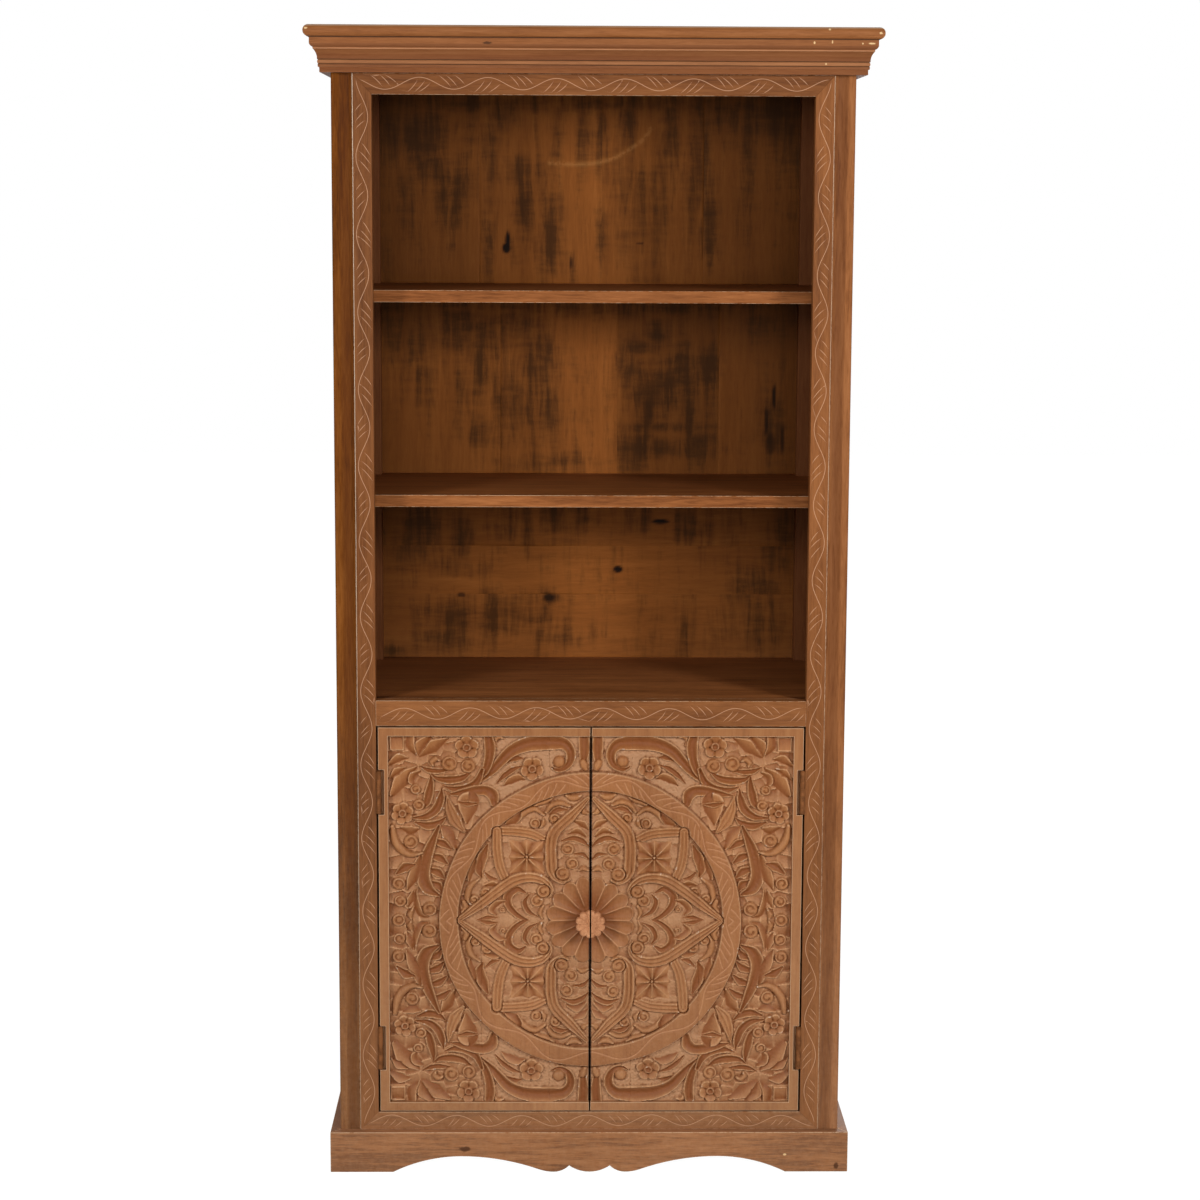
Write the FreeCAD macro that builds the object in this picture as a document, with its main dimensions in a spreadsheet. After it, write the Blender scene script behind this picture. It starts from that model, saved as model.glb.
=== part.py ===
import FreeCAD, Part
import math
import os
from types import SimpleNamespace

import Sketcher
from FreeCAD import Rotation, Vector

# A free-standing carved bookcase: three open bays over a cupboard with two doors.
# X runs to the viewer's right, the front faces -Y and Z is up. The origin is on the floor,
# under the middle of the whole piece. Every length is in millimetres.

SIZES = {
    # whole piece
    "overall_height": 1800.0,
    "body_width": 798.0,
    "body_depth": 422.0,
    "cut_overrun": 5.0,
    # corner posts
    "post_width": 49.0,
    "post_reveal": 32.5,
    "post_setback": 4.0,
    "front_post_depth": 45.0,
    "back_post_depth": 40.0,
    "flute_margin": 2.0,
    "flute_width": 20.0,
    "post_round": 3.0,
    # applied frame with the vine
    "vine_width": 29.0,
    "vine_head_height": 32.0,
    "vine_thickness": 22.0,
    "middle_rail_height": 40.5,
    "tenon_length": 10.0,
    "tenon_shoulder": 6.0,
    # cornice
    "cornice_height": 70.0,
    "cornice_overhang": 38.0,
    "cap_thickness": 18.0,
    "cap_nose": 8.5,
    "crown_foot": 8.0,
    "crown_foot_reach": 15.2,
    "crown_band": 4.2,
    "crown_band_reach": 17.4,
    "crown_bead": 7.0,
    "crown_bead_reach": 16.6,
    "crown_cove": 15.3,
    "crown_cove_foot_reach": 18.3,
    "crown_cove_reach": 24.3,
    "crown_list": 2.5,
    "crown_ovolo": 5.5,
    "crown_top_reach": 29.3,
    # plinth
    "plinth_height": 66.0,
    "plinth_overhang": 15.0,
    "scallop_cusp_place": 32.5,
    "scallop_cusp_height": 10.5,
    "scallop_lobe_place": 57.0,
    "scallop_turn_place": 81.0,
    "scallop_turn_height": 4.2,
    "scallop_peak_place": 205.0,
    "scallop_peak_height": 26.0,
    "scallop_foot_place": 314.0,
    # side frames
    "side_board_thickness": 18.0,
    "side_board_recess": 8.0,
    "side_tongue": 8.0,
    "side_top_rail_drop": 87.0,
    "side_bottom_rail_rise": 84.0,
    "rail_floor_gap": 20.0,
    # shelves and boards
    "shelf_thickness": 19.0,
    "shelf_setback": 66.0,
    "deck_top": 764.5,
    "housing_depth": 5.0,
    "board_clearance": 0.2,
    "head_rail_depth": 24.0,
    # back
    "back_panel_thickness": 12.0,
    "back_panel_inset": 2.0,
    "back_rebate": 8.0,
    "back_rebate_clearance": 0.5,
    "back_rail_thickness": 24.0,
    # doors
    "door_thickness": 26.0,
    "door_side_gap": 3.0,
    "door_meeting_gap": 2.4,
    "door_top_gap": 2.5,
    "door_bottom_gap": 2.0,
    "field_side_border": 15.5,
    "field_end_border": 14.0,
    "field_depth": 9.0,
    # carving on the doors
    "ring_outer_radius": 240.0,
    "ring_inner_radius": 209.5,
    "ring_relief": 8.0,
    "rib_relief": 7.0,
    "rib_ball_radius": 10.5,
    "square_relief": 6.0,
    "tile_relief": 4.0,
    "square_reach": 150.0,
    "square_rib": 14.0,
    "square_start": 72.0,
    "tile_place": 100.5,
    "tile_half_width": 25.0,
    "rosette_radius": 66.0,
    "rosette_relief": 6.5,
    # knob in two halves
    "knob_radius": 23.0,
    "knob_length": 26.0,
    "knob_neck_radius": 13.0,
    "knob_foot_radius": 15.0,
    "knob_foot_height": 6.0,
    "knob_head_height": 18.0,
    "knob_flute_radius": 4.0,
    "knob_spigot_radius": 5.0,
    "knob_spigot_length": 9.0,
    "knob_spigot_place": 9.0,
    "spigot_clearance": 0.1,
    # hinges
    "hinge_spacing": 417.0,
    "hinge_length": 68.0,
    "hinge_leaf_thickness": 1.5,
    "hinge_leaf_width": 22.0,
    "hinge_axis_inset": 4.0,
    "hinge_axis_proud": 1.0,
    "knuckle_radius": 3.6,
    "knuckle_gap": 0.3,
    "knuckle_clearance": 0.6,
    "hinge_pin_radius": 2.0,
    "hinge_pin_clearance": 0.05,
    "pin_head_radius": 3.0,
    "pin_head_height": 1.5,
    "hinge_notch_margin": 2.0,
    "barrel_notch_width": 9.0,
    "barrel_notch_depth": 8.0,
    "screw_radius": 1.5,
    "screw_head_radius": 3.0,
    "screw_length": 16.0,
    "screw_spacing": 24.0,
    "screw_setback": 14.0,
    "screw_clearance": 0.05,
    # door stop and magnets
    "stop_half_width": 120.0,
    "stop_drop": 21.5,
    "stop_thickness": 18.0,
    "stop_clearance": 0.4,
    "magnet_place": 40.0,
    "magnet_drop": 12.0,
    "magnet_radius": 7.0,
    "magnet_length": 12.0,
    "magnet_clearance": 0.1,
    "strike_radius": 9.0,
    "strike_thickness": 1.2,
}

# Tops of the shelves, as shares of the height from the deck to the head of the opening, and
# from the cupboard's floor to the deck.
MIDDLE_SHELF_TOP_SHARE = 0.339
UPPER_SHELF_TOP_SHARE = 0.682
CUPBOARD_SHELF_TOP_SHARE = 0.456

# Rise of each arc as a share of its chord. A positive share bends to the left of the way
# that the outline runs.
FLUTE_BULGE_SHARE = 0.175
QUARTER_BULGE_SHARE = (math.sqrt(2.0) - 1.0) / 2.0
HALF_BULGE_SHARE = 0.5
BEAD_BULGE_SHARE = 0.22
COVE_BULGE_SHARE = 0.11
OVOLO_BULGE_SHARE = 0.14
PLINTH_BULGE_SHARES = {"centre": 0.16, "lobe": 0.10, "rise": 0.043, "crest": 0.043, "fall": 0.058}
PETAL_BULGE_SHARE = 0.32
KNOB_NECK_BULGE_SHARE = 0.12
KNOB_DOME_BULGE_SHARE = 0.12

# One rib of a pointed arch, from the point on the ring to the curl beside the rosette, as
# shares of the ring's inner radius along and across the arch, each with its arc.
RIB_SHARES = (
    (0.985, 0.040, 0.0),
    (0.610, 0.330, 0.020),
    (0.340, 0.338, 0.140),
    (0.290, 0.262, 0.100),
    (0.345, 0.232, 0.0),
    (0.580, 0.262, -0.190),
    (0.955, 0.004, -0.010),
)
RIB_BALL_SHARES = (0.349, 0.183)

PETALS_ON_A_DOOR = 8
KNOB_FLUTES_ON_A_HALF = 6
KNUCKLES = 5
SCREWS_ON_A_LEAF = 3

doc = FreeCAD.newDocument("carved_bookcase")
sheet = doc.addObject("Spreadsheet::Sheet", "Sizes")
for row, (alias, number) in enumerate(SIZES.items(), 1):
    sheet.set(f"A{row}", alias)
    sheet.set(f"B{row}", str(number))
    sheet.setAlias(f"B{row}", alias)
doc.recompute()


class Size:
    """A length held both as a number and as the expression on the sheet that gives it."""

    def __init__(self, value, text):
        self.value = value
        self.text = text

    def __add__(self, other):
        other = as_size(other)
        return Size(self.value + other.value, f"({self.text} + {other.text})")

    def __radd__(self, other):
        return as_size(other) + self

    def __sub__(self, other):
        other = as_size(other)
        return Size(self.value - other.value, f"({self.text} - {other.text})")

    def __rsub__(self, other):
        return as_size(other) - self

    def __mul__(self, factor):
        return Size(self.value * factor, f"({self.text} * {factor:.9f})")

    __rmul__ = __mul__

    def __truediv__(self, divisor):
        return self * (1.0 / divisor)

    def __neg__(self):
        return self * -1.0


def as_size(number):
    if isinstance(number, Size):
        return number
    return Size(float(number), f"({float(number):.9f})")


def bind(item, prop, size):
    item.setExpression(prop, as_size(size).text)


s = SimpleNamespace(**{name: Size(number, f"Sizes.{name}") for name, number in SIZES.items()})

# Places that several pieces share

side = s.body_width / 2
front = s.cornice_overhang / 2 - s.body_depth / 2
back = front + s.body_depth
post_front = front + s.post_setback
post_inner = side - s.post_width
front_post_back = post_front + s.front_post_depth
back_post_front = back - s.back_post_depth
vine_outer = side - s.post_reveal
opening = vine_outer - s.vine_width
frame_back = front + s.vine_thickness
cornice_bottom = s.overall_height - s.cornice_height
cap_bottom = s.overall_height - s.cap_thickness
opening_top = cornice_bottom - s.vine_head_height
floor_top = s.plinth_height + s.vine_width
floor_bottom = floor_top - s.shelf_thickness
deck_bottom = s.deck_top - s.shelf_thickness
middle_shelf_top = s.deck_top + (opening_top - s.deck_top) * MIDDLE_SHELF_TOP_SHARE
upper_shelf_top = s.deck_top + (opening_top - s.deck_top) * UPPER_SHELF_TOP_SHARE
cupboard_shelf_top = floor_top + (s.deck_top - floor_top) * CUPBOARD_SHELF_TOP_SHARE
top_panel_top = cornice_bottom + s.shelf_thickness
middle_rail_bottom = s.deck_top - s.middle_rail_height
board_outer = side - s.side_board_recess
board_inner = board_outer - s.side_board_thickness
housing_end = board_inner + s.housing_depth
shelf_front = front + s.shelf_setback
panel_back = back - s.back_panel_inset
panel_front = panel_back - s.back_panel_thickness
door_outer = opening - s.door_side_gap
door_inner = s.door_meeting_gap / 2
door_bottom = floor_top + s.door_bottom_gap
door_top = middle_rail_bottom - s.door_top_gap
door_back = front + s.door_thickness
door_middle = (door_bottom + door_top) / 2
field_floor = front + s.field_depth
rosette_front = field_floor - s.rosette_relief
hinge_x = opening - s.hinge_axis_inset
hinge_y = front - s.hinge_axis_proud

nodes = []


def node(label, piece):
    """Name a finished piece and list it among the pieces to write."""
    piece.Label = label
    nodes.append(piece)
    return piece


# Building blocks


def box(name, x, y, z):
    """A block between the low and high limits given for each direction."""
    piece = doc.addObject("Part::Box", name)
    limits = {"Length": ("x", x), "Width": ("y", y), "Height": ("z", z)}
    for prop, (letter, (low, high)) in limits.items():
        bind(piece, prop, as_size(high) - low)
        bind(piece, f"Placement.Base.{letter}", low)
    return piece


def round_bar(name, radius, length, start, turn):
    """A cylinder from the start point, turned from the Z axis."""
    piece = doc.addObject("Part::Cylinder", name)
    piece.Placement.Rotation = turn
    bind(piece, "Radius", radius)
    bind(piece, "Height", length)
    for letter, place in zip("xyz", start):
        bind(piece, f"Placement.Base.{letter}", place)
    return piece


def taper(name, foot_radius, end_radius, length, start, turn):
    """A cone from the start point, turned from the Z axis."""
    piece = doc.addObject("Part::Cone", name)
    piece.Placement.Rotation = turn
    bind(piece, "Radius1", foot_radius)
    bind(piece, "Radius2", end_radius)
    bind(piece, "Height", length)
    for letter, place in zip("xyz", start):
        bind(piece, f"Placement.Base.{letter}", place)
    return piece


def gather(name, pieces):
    group = doc.addObject("Part::Compound", name)
    group.Links = list(pieces)
    return group


def cut(name, base, tools):
    result = doc.addObject("Part::Cut", name)
    result.Base = base
    result.Tool = tools[0] if len(tools) == 1 else join(f"{name}_cuts", tools)
    return result


def join(name, pieces):
    result = doc.addObject("Part::MultiFuse", name)
    result.Shapes = list(pieces)
    result.Refine = True
    return result


def common(name, pieces):
    result = doc.addObject("Part::MultiCommon", name)
    result.Shapes = list(pieces)
    return result


def mirror(name, source):
    """The same piece on the other side of the bookcase."""
    piece = doc.addObject("Part::Mirroring", name)
    piece.Source = source
    piece.Normal = Vector(1, 0, 0)
    return piece


def arc_through(first, last, bulge):
    """The centre, radius and angles of an arc whose rise is a share of its chord."""
    along = last[0].value - first[0].value
    across = last[1].value - first[1].value
    reach = bulge / 2 - 1 / (8 * bulge)
    centre_u = (first[0] + last[0]) / 2 - (last[1] - first[1]) * reach
    centre_v = (first[1] + last[1]) / 2 + (last[0] - first[0]) * reach
    radius = math.hypot(first[0].value - centre_u.value, first[1].value - centre_v.value)
    begin, end = (last, first) if bulge > 0 else (first, last)
    angles = [math.atan2(p[1].value - centre_v.value, p[0].value - centre_u.value) for p in (begin, end)]
    circle = Part.Circle(Vector(centre_u.value, centre_v.value, 0), Vector(0, 0, 1), radius)
    level = abs(along) > abs(across)
    return Part.ArcOfCircle(circle, *angles), centre_u, centre_v, level


def outline(sketch, corners):
    """Draw a closed outline whose corners are tied to the sheet. Each corner is a place along
    and across the sketch, with the bulge of the edge that ends there."""
    corners = [(as_size(c[0]), as_size(c[1]), c[2] if len(c) > 2 else 0.0) for c in corners]
    ends = []
    for previous, corner in zip([corners[-1]] + corners[:-1], corners):
        bulge = corner[2]
        if bulge:
            arc, centre_u, centre_v, level = arc_through(previous, corner, bulge)
            edge = sketch.addGeometry(arc)
            kind, middle = ("DistanceY", centre_v) if level else ("DistanceX", centre_u)
            tie(sketch, kind, edge, 3, middle)
            ends.append((edge, 2, 1) if bulge > 0 else (edge, 1, 2))
        else:
            start = Vector(previous[0].value, previous[1].value, 0)
            stop = Vector(corner[0].value, corner[1].value, 0)
            ends.append((sketch.addGeometry(Part.LineSegment(start, stop)), 1, 2))
    for index, (edge, start, stop) in enumerate(ends):
        after, after_start, _ = ends[(index + 1) % len(ends)]
        sketch.addConstraint(Sketcher.Constraint("Coincident", edge, stop, after, after_start))
        tie(sketch, "DistanceX", edge, stop, corners[index][0])
        tie(sketch, "DistanceY", edge, stop, corners[index][1])


def rectangle(across, upward):
    """The corners of a rectangle between two places across and two places upward."""
    return [(across[i], upward[j]) for i, j in ((0, 0), (1, 0), (1, 1), (0, 1))]


def tie(sketch, kind, edge, point, place):
    index = sketch.addConstraint(Sketcher.Constraint(kind, edge, point, place.value))
    sketch.setExpression(f"Constraints[{index}]", place.text)


def disc(sketch, centre_u, centre_v, radius):
    circle = Part.Circle(Vector(centre_u.value, centre_v.value, 0), Vector(0, 0, 1), radius.value)
    edge = sketch.addGeometry(circle)
    tie(sketch, "DistanceX", edge, 3, centre_u)
    tie(sketch, "DistanceY", edge, 3, centre_v)
    index = sketch.addConstraint(Sketcher.Constraint("Radius", edge, radius.value))
    sketch.setExpression(f"Constraints[{index}]", radius.text)


def draw(body, plane, level, name):
    """A new sketch of the body, on its own plane moved to a level along the plane's normal."""
    sketch = body.newObject("Sketcher::SketchObject", f"{body.Name}_{name}_sketch")
    support = next(p for p in body.Origin.OriginFeatures if p.Role == f"{plane}_Plane")
    sketch.AttachmentSupport = [(support, "")]
    sketch.MapMode = "FlatFace"
    bind(sketch, "AttachmentOffset.Base.z", level)
    return sketch


def raise_pad(body, sketch, length):
    pad = body.newObject("PartDesign::Pad", f"{sketch.Name}_pad")
    pad.Profile = sketch
    bind(pad, "Length", length)
    return pad


def sink_pocket(body, sketch, depth):
    pocket = body.newObject("PartDesign::Pocket", f"{sketch.Name}_pocket")
    pocket.Profile = sketch
    bind(pocket, "Length", depth)
    return pocket


def prism(name, plane, low, high, corners):
    """A body with a constant section between two levels: upright on XY, along Y on XZ,
    along X on YZ."""
    body = doc.addObject("PartDesign::Body", name)
    level = -high if plane == "XZ" else low
    sketch = draw(body, plane, level, "section")
    outline(sketch, corners)
    raise_pad(body, sketch, high - low)
    return body


ALONG_X = Rotation(Vector(0, 1, 0), 90)
AGAINST_X = Rotation(Vector(0, 1, 0), -90)
ALONG_Y = Rotation(Vector(1, 0, 0), -90)
UPRIGHT = Rotation()


# Corner posts: the front pair carries a shallow flute beside the vine frame


def corner_posts():
    flute_start = vine_outer + s.flute_margin
    section = [
        (vine_outer, frame_back),
        (vine_outer, post_front),
        (flute_start, post_front),
        (flute_start + s.flute_width, post_front, FLUTE_BULGE_SHARE),
        (side - s.post_round, post_front),
        (side, post_front + s.post_round, -QUARTER_BULGE_SHARE),
        (side, front_post_back),
        (post_inner, front_post_back),
        (post_inner, frame_back),
    ]
    shaft = prism("front_post_shaft", "XY", as_size(0), cap_bottom, section)
    groove_x = (board_inner, board_outer)
    groove_y = (front_post_back - s.side_tongue, front_post_back)
    groove_z = (s.rail_floor_gap, cap_bottom)
    groove = box("front_post_groove", groove_x, groove_y, groove_z)
    front_right = node("post_front_right", cut("post_front_right", shaft, [groove]))
    node("post_front_left", mirror("post_front_left", front_right))

    block = box("back_post_block", (post_inner, side), (back_post_front, back), (0, cap_bottom))
    rebate_x = (post_inner - s.cut_overrun, post_inner + s.back_rebate)
    rebate_y = (panel_front, back + s.cut_overrun)
    rebate = box("back_post_rebate", rebate_x, rebate_y, (floor_bottom, cap_bottom))
    groove_y = (back_post_front - s.cut_overrun, back_post_front + s.side_tongue)
    groove = box("back_post_groove", groove_x, groove_y, groove_z)
    back_right = node("post_back_right", cut("post_back_right", block, [rebate, groove]))
    node("post_back_left", mirror("post_back_left", back_right))


# Side frames: two rails and a sunk board between each pair of posts


def side_frames():
    rails = {
        "top": (cornice_bottom - s.side_top_rail_drop, cap_bottom),
        "bottom": (s.rail_floor_gap, s.plinth_height + s.side_bottom_rail_rise),
    }
    board_low = rails["bottom"][1] - s.side_tongue
    board_high = rails["top"][0] + s.side_tongue
    tongue_y = (front_post_back - s.side_tongue, back_post_front + s.side_tongue)
    housings = {
        "top": [(cornice_bottom, top_panel_top, front_post_back)],
        "bottom": [(floor_bottom, floor_top, front_post_back)],
        "board": [
            (top - s.shelf_thickness, top, start)
            for top, start in (
                (upper_shelf_top, shelf_front),
                (middle_shelf_top, shelf_front),
                (s.deck_top, front_post_back),
                (cupboard_shelf_top, shelf_front),
            )
        ],
    }

    def housing_cuts(place):
        reach = (board_inner - s.cut_overrun, housing_end)
        cuts = []
        for index, (low, high, start) in enumerate(housings[place]):
            height = (low, high + s.board_clearance)
            cuts.append(box(f"side_{place}_housing_{index}", reach, (start, back_post_front), height))
        return cuts

    between_posts = (front_post_back, back_post_front)
    for place, (low, high) in rails.items():
        bar = box(f"side_{place}_bar", (board_inner, side), between_posts, (low, high))
        tenons = box(f"side_{place}_tenons", (board_inner, board_outer), tongue_y, (low, high))
        rebate_z = (low, board_high) if place == "top" else (board_low, high)
        reach = (board_inner - s.cut_overrun, board_outer)
        over = (tongue_y[0] - s.cut_overrun, tongue_y[1] + s.cut_overrun)
        rebate = box(f"side_{place}_rebate", reach, over, rebate_z)
        blank = join(f"side_{place}_blank", [bar, tenons])
        rail = cut(f"side_rail_{place}_right", blank, [rebate] + housing_cuts(place))
        node(f"side_rail_{place}_right", rail)
        node(f"side_rail_{place}_left", mirror(f"side_rail_{place}_left", rail))

    blank = box("side_board_blank", (board_inner, board_outer), tongue_y, (board_low, board_high))
    board = node("side_board_right", cut("side_board_right", blank, housing_cuts("board")))
    node("side_board_left", mirror("side_board_left", board))


# The mitred frame with the vine, and the rail between the open bays and the cupboard


def vine_frame():
    tenon_y = (front + s.tenon_shoulder, frame_back - s.tenon_shoulder)
    tenon_z = (middle_rail_bottom + s.tenon_shoulder, s.deck_top - s.tenon_shoulder)
    tenon_end = opening + s.tenon_length
    stile_outline = [
        (opening, floor_top),
        (vine_outer, s.plinth_height),
        (vine_outer, cornice_bottom),
        (opening, opening_top),
    ]
    blank = prism("vine_stile_blank", "XZ", front, frame_back, stile_outline)
    mortise_x = (opening - s.cut_overrun, tenon_end)
    mortise = box("vine_stile_mortise", mortise_x, tenon_y, tenon_z)
    stile = cut("vine_stile_right", blank, [mortise] + screw_holes("stile", opening, ALONG_X))
    node("vine_stile_right", stile)
    node("vine_stile_left", mirror("vine_stile_left", stile))

    for name, inner_z, outer_z in (
        ("vine_top_rail", opening_top, cornice_bottom),
        ("vine_bottom_rail", floor_top, s.plinth_height),
    ):
        corners = [(-opening, inner_z), (opening, inner_z), (vine_outer, outer_z), (-vine_outer, outer_z)]
        node(name, prism(name, "XZ", front, frame_back, corners))

    height = (middle_rail_bottom, s.deck_top)
    bar = box("middle_rail_bar", (-opening, opening), (front, frame_back), height)
    tenons = box("middle_rail_tenons", (-tenon_end, tenon_end), tenon_y, tenon_z)
    node("vine_middle_rail", join("vine_middle_rail", [bar, tenons]))


def hinge_heights():
    return {"upper": door_middle + s.hinge_spacing / 2, "lower": door_middle - s.hinge_spacing / 2}


def screw_places():
    """The heights of the screws in the right-hand leaves, by hinge."""
    middle = (SCREWS_ON_A_LEAF - 1) / 2
    return [
        (f"{which}_{i}", height + s.screw_spacing * (i - middle))
        for which, height in hinge_heights().items()
        for i in range(SCREWS_ON_A_LEAF)
    ]


def screw_holes(wood, face, turn):
    """Pilot holes from a face of the wood, for the screws of the right-hand leaves."""
    radius = s.screw_radius + s.screw_clearance
    y = hinge_y + s.screw_setback
    return [
        round_bar(f"{wood}_pilot_{tag}", radius, s.screw_length, (face, y, z), turn)
        for tag, z in screw_places()
    ]


# Boards that lie between the sides, notched round the posts


def boards():
    rear = back_post_front - s.board_clearance
    wide = housing_end - s.board_clearance
    narrow = post_inner - s.board_clearance
    for name, top, start, end in (
        ("top_panel", top_panel_top, post_front + s.head_rail_depth, panel_back),
        ("shelf_upper", upper_shelf_top, shelf_front, panel_back),
        ("shelf_middle", middle_shelf_top, shelf_front, panel_back),
        ("deck_board", s.deck_top, frame_back, panel_back),
        ("cupboard_shelf", cupboard_shelf_top, shelf_front, panel_front),
        ("floor_board", floor_top, frame_back, panel_back),
    ):
        shoulder = front_post_back + s.board_clearance
        notched = start.value < front_post_back.value
        reach = shoulder if notched else start
        corners = [(wide, reach), (wide, rear), (narrow, rear), (narrow, end)]
        corners += [(-u, v) for u, v in reversed(corners)]
        if notched:
            corners += [(-narrow, shoulder), (-narrow, start), (narrow, start), (narrow, shoulder)]
        node(name, prism(name, "XY", top - s.shelf_thickness, top, corners))


# Back panels, one behind each bay, and the rails across the back and the head


def back_and_rails():
    reach = post_inner + s.back_rebate - s.back_rebate_clearance
    for name, low, high in (
        ("back_panel_top", upper_shelf_top, cornice_bottom),
        ("back_panel_middle", middle_shelf_top, upper_shelf_top - s.shelf_thickness),
        ("back_panel_lower", s.deck_top, middle_shelf_top - s.shelf_thickness),
        ("back_panel_cupboard", floor_top, deck_bottom),
    ):
        node(name, box(name, (-reach, reach), (panel_front, panel_back), (low, high)))
    across = (-post_inner, post_inner)
    rail_y = (back - s.back_rail_thickness, back)
    node("back_rail_top", box("back_rail_top", across, rail_y, (top_panel_top, cap_bottom)))
    node("back_rail_bottom", box("back_rail_bottom", across, rail_y, (s.rail_floor_gap, floor_bottom)))
    head_y = (post_front, post_front + s.head_rail_depth)
    node("head_rail", box("head_rail", across, head_y, (cornice_bottom, cap_bottom)))


# Cornice: a mitred crown moulding on three sides under a cap with a round nose


def crown_section(base):
    """The moulding's section, from the wall outwards; base is the wall's face."""
    heights = [cornice_bottom]
    for rise in (s.crown_foot, s.crown_band, s.crown_bead, s.crown_cove, s.crown_list, s.crown_ovolo):
        heights.append(heights[-1] + rise)
    return [
        (base, heights[0]),
        (s.crown_foot_reach, heights[0]),
        (s.crown_foot_reach, heights[1]),
        (s.crown_band_reach, heights[1]),
        (s.crown_band_reach, heights[2]),
        (s.crown_bead_reach, heights[2]),
        (s.crown_bead_reach, heights[3], -BEAD_BULGE_SHARE),
        (s.crown_cove_foot_reach, heights[3]),
        (s.crown_cove_reach, heights[4], COVE_BULGE_SHARE),
        (s.crown_cove_reach, heights[5]),
        (s.crown_top_reach, heights[6], -OVOLO_BULGE_SHARE),
        (s.crown_top_reach, cap_bottom),
        (base, cap_bottom),
    ]


def cornice():
    levels = (cornice_bottom, cap_bottom)
    reach = side + s.cornice_overhang
    ahead = front - s.cornice_overhang
    facing = [(front - u, v, -(b[0] if b else 0.0)) for u, v, *b in crown_section(-s.post_setback)]
    run = prism("crown_front_run", "YZ", -reach, reach, facing)
    corners = [(reach, ahead), (side, front), (side, post_front)]
    corners += [(-u, v) for u, v in reversed(corners)]
    mitre = prism("crown_front_mitre", "XY", *levels, corners)
    node("crown_front", common("crown_front", [run, mitre]))

    facing = [(side + u, v, *b) for u, v, *b in crown_section(as_size(0))]
    run = prism("crown_side_run", "XZ", ahead, back, facing)
    corners = [(side, front), (reach, ahead), (reach, back), (side, back)]
    mitre = prism("crown_side_mitre", "XY", *levels, corners)
    right = node("crown_right", common("crown_right", [run, mitre]))
    node("crown_left", mirror("crown_left", right))

    nose = s.cap_nose
    low, high = cap_bottom, s.overall_height
    ends = [
        (-reach, low + nose),
        (-reach + nose, low, -QUARTER_BULGE_SHARE),
        (reach - nose, low),
        (reach, low + nose, -QUARTER_BULGE_SHARE),
        (reach, high - nose),
        (reach - nose, high, -QUARTER_BULGE_SHARE),
        (-reach + nose, high),
        (-reach, high - nose, -QUARTER_BULGE_SHARE),
    ]
    lip = [
        (ahead, low + nose),
        (ahead + nose, low, -QUARTER_BULGE_SHARE),
        (back, low),
        (back, high),
        (ahead + nose, high),
        (ahead, high - nose, -QUARTER_BULGE_SHARE),
    ]
    cap = [prism("cap_ends", "XZ", ahead, back, ends), prism("cap_lip", "YZ", -reach, reach, lip)]
    node("cornice_cap", common("cornice_cap", cap))


# Plinth: a scalloped front board, mitred to plain boards along the sides


def plinth():
    reach = side + s.plinth_overhang
    ahead = front - s.plinth_overhang
    bulge = PLINTH_BULGE_SHARES
    zero = as_size(0)
    half = [
        (s.scallop_cusp_place, s.scallop_cusp_height, -bulge["centre"]),
        (s.scallop_lobe_place, zero, -bulge["lobe"]),
        (s.scallop_turn_place, s.scallop_turn_height, -bulge["rise"]),
        (s.scallop_peak_place, s.scallop_peak_height, bulge["crest"]),
        (s.scallop_foot_place, zero, bulge["fall"]),
        (reach, zero, 0.0),
        (reach, s.plinth_height, 0.0),
    ]
    mirrored = []
    for index in range(len(half) - 1, -1, -1):
        u, v, _ = half[index]
        following = half[index + 1][2] if index + 1 < len(half) else 0.0
        mirrored.append((-u, v, following))
    run = prism("plinth_front_run", "XZ", ahead, post_front, half + mirrored)
    corners = [(reach, ahead), (side, post_front)]
    corners += [(-u, v) for u, v in reversed(corners)]
    mitre = prism("plinth_front_mitre", "XY", zero, s.plinth_height, corners)
    node("plinth_front", common("plinth_front", [run, mitre]))
    corners = [(side, post_front), (reach, ahead), (reach, back), (side, back)]
    right = node("plinth_right", prism("plinth_right", "XY", zero, s.plinth_height, corners))
    node("plinth_left", mirror("plinth_left", right))


# Doors: one carved board each, with half of the ring and rosette on either side of the gap


def rib_corners(turned, sense):
    """One rib of a pointed arch on the right-hand door, and the centre of its ball. A turned rib
    stands on the gap, the others lie along it; sense picks the upper or the lower one."""

    def place(along, across):
        u, v = (across, along) if turned else (along, across)
        return door_inner + s.ring_inner_radius * u, door_middle + s.ring_inner_radius * (v * sense)

    handed = 1 if turned == (sense < 0) else -1
    corners = [(*place(along, across), handed * bulge) for along, across, bulge in RIB_SHARES]
    return corners, place(*RIB_BALL_SHARES)


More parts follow.
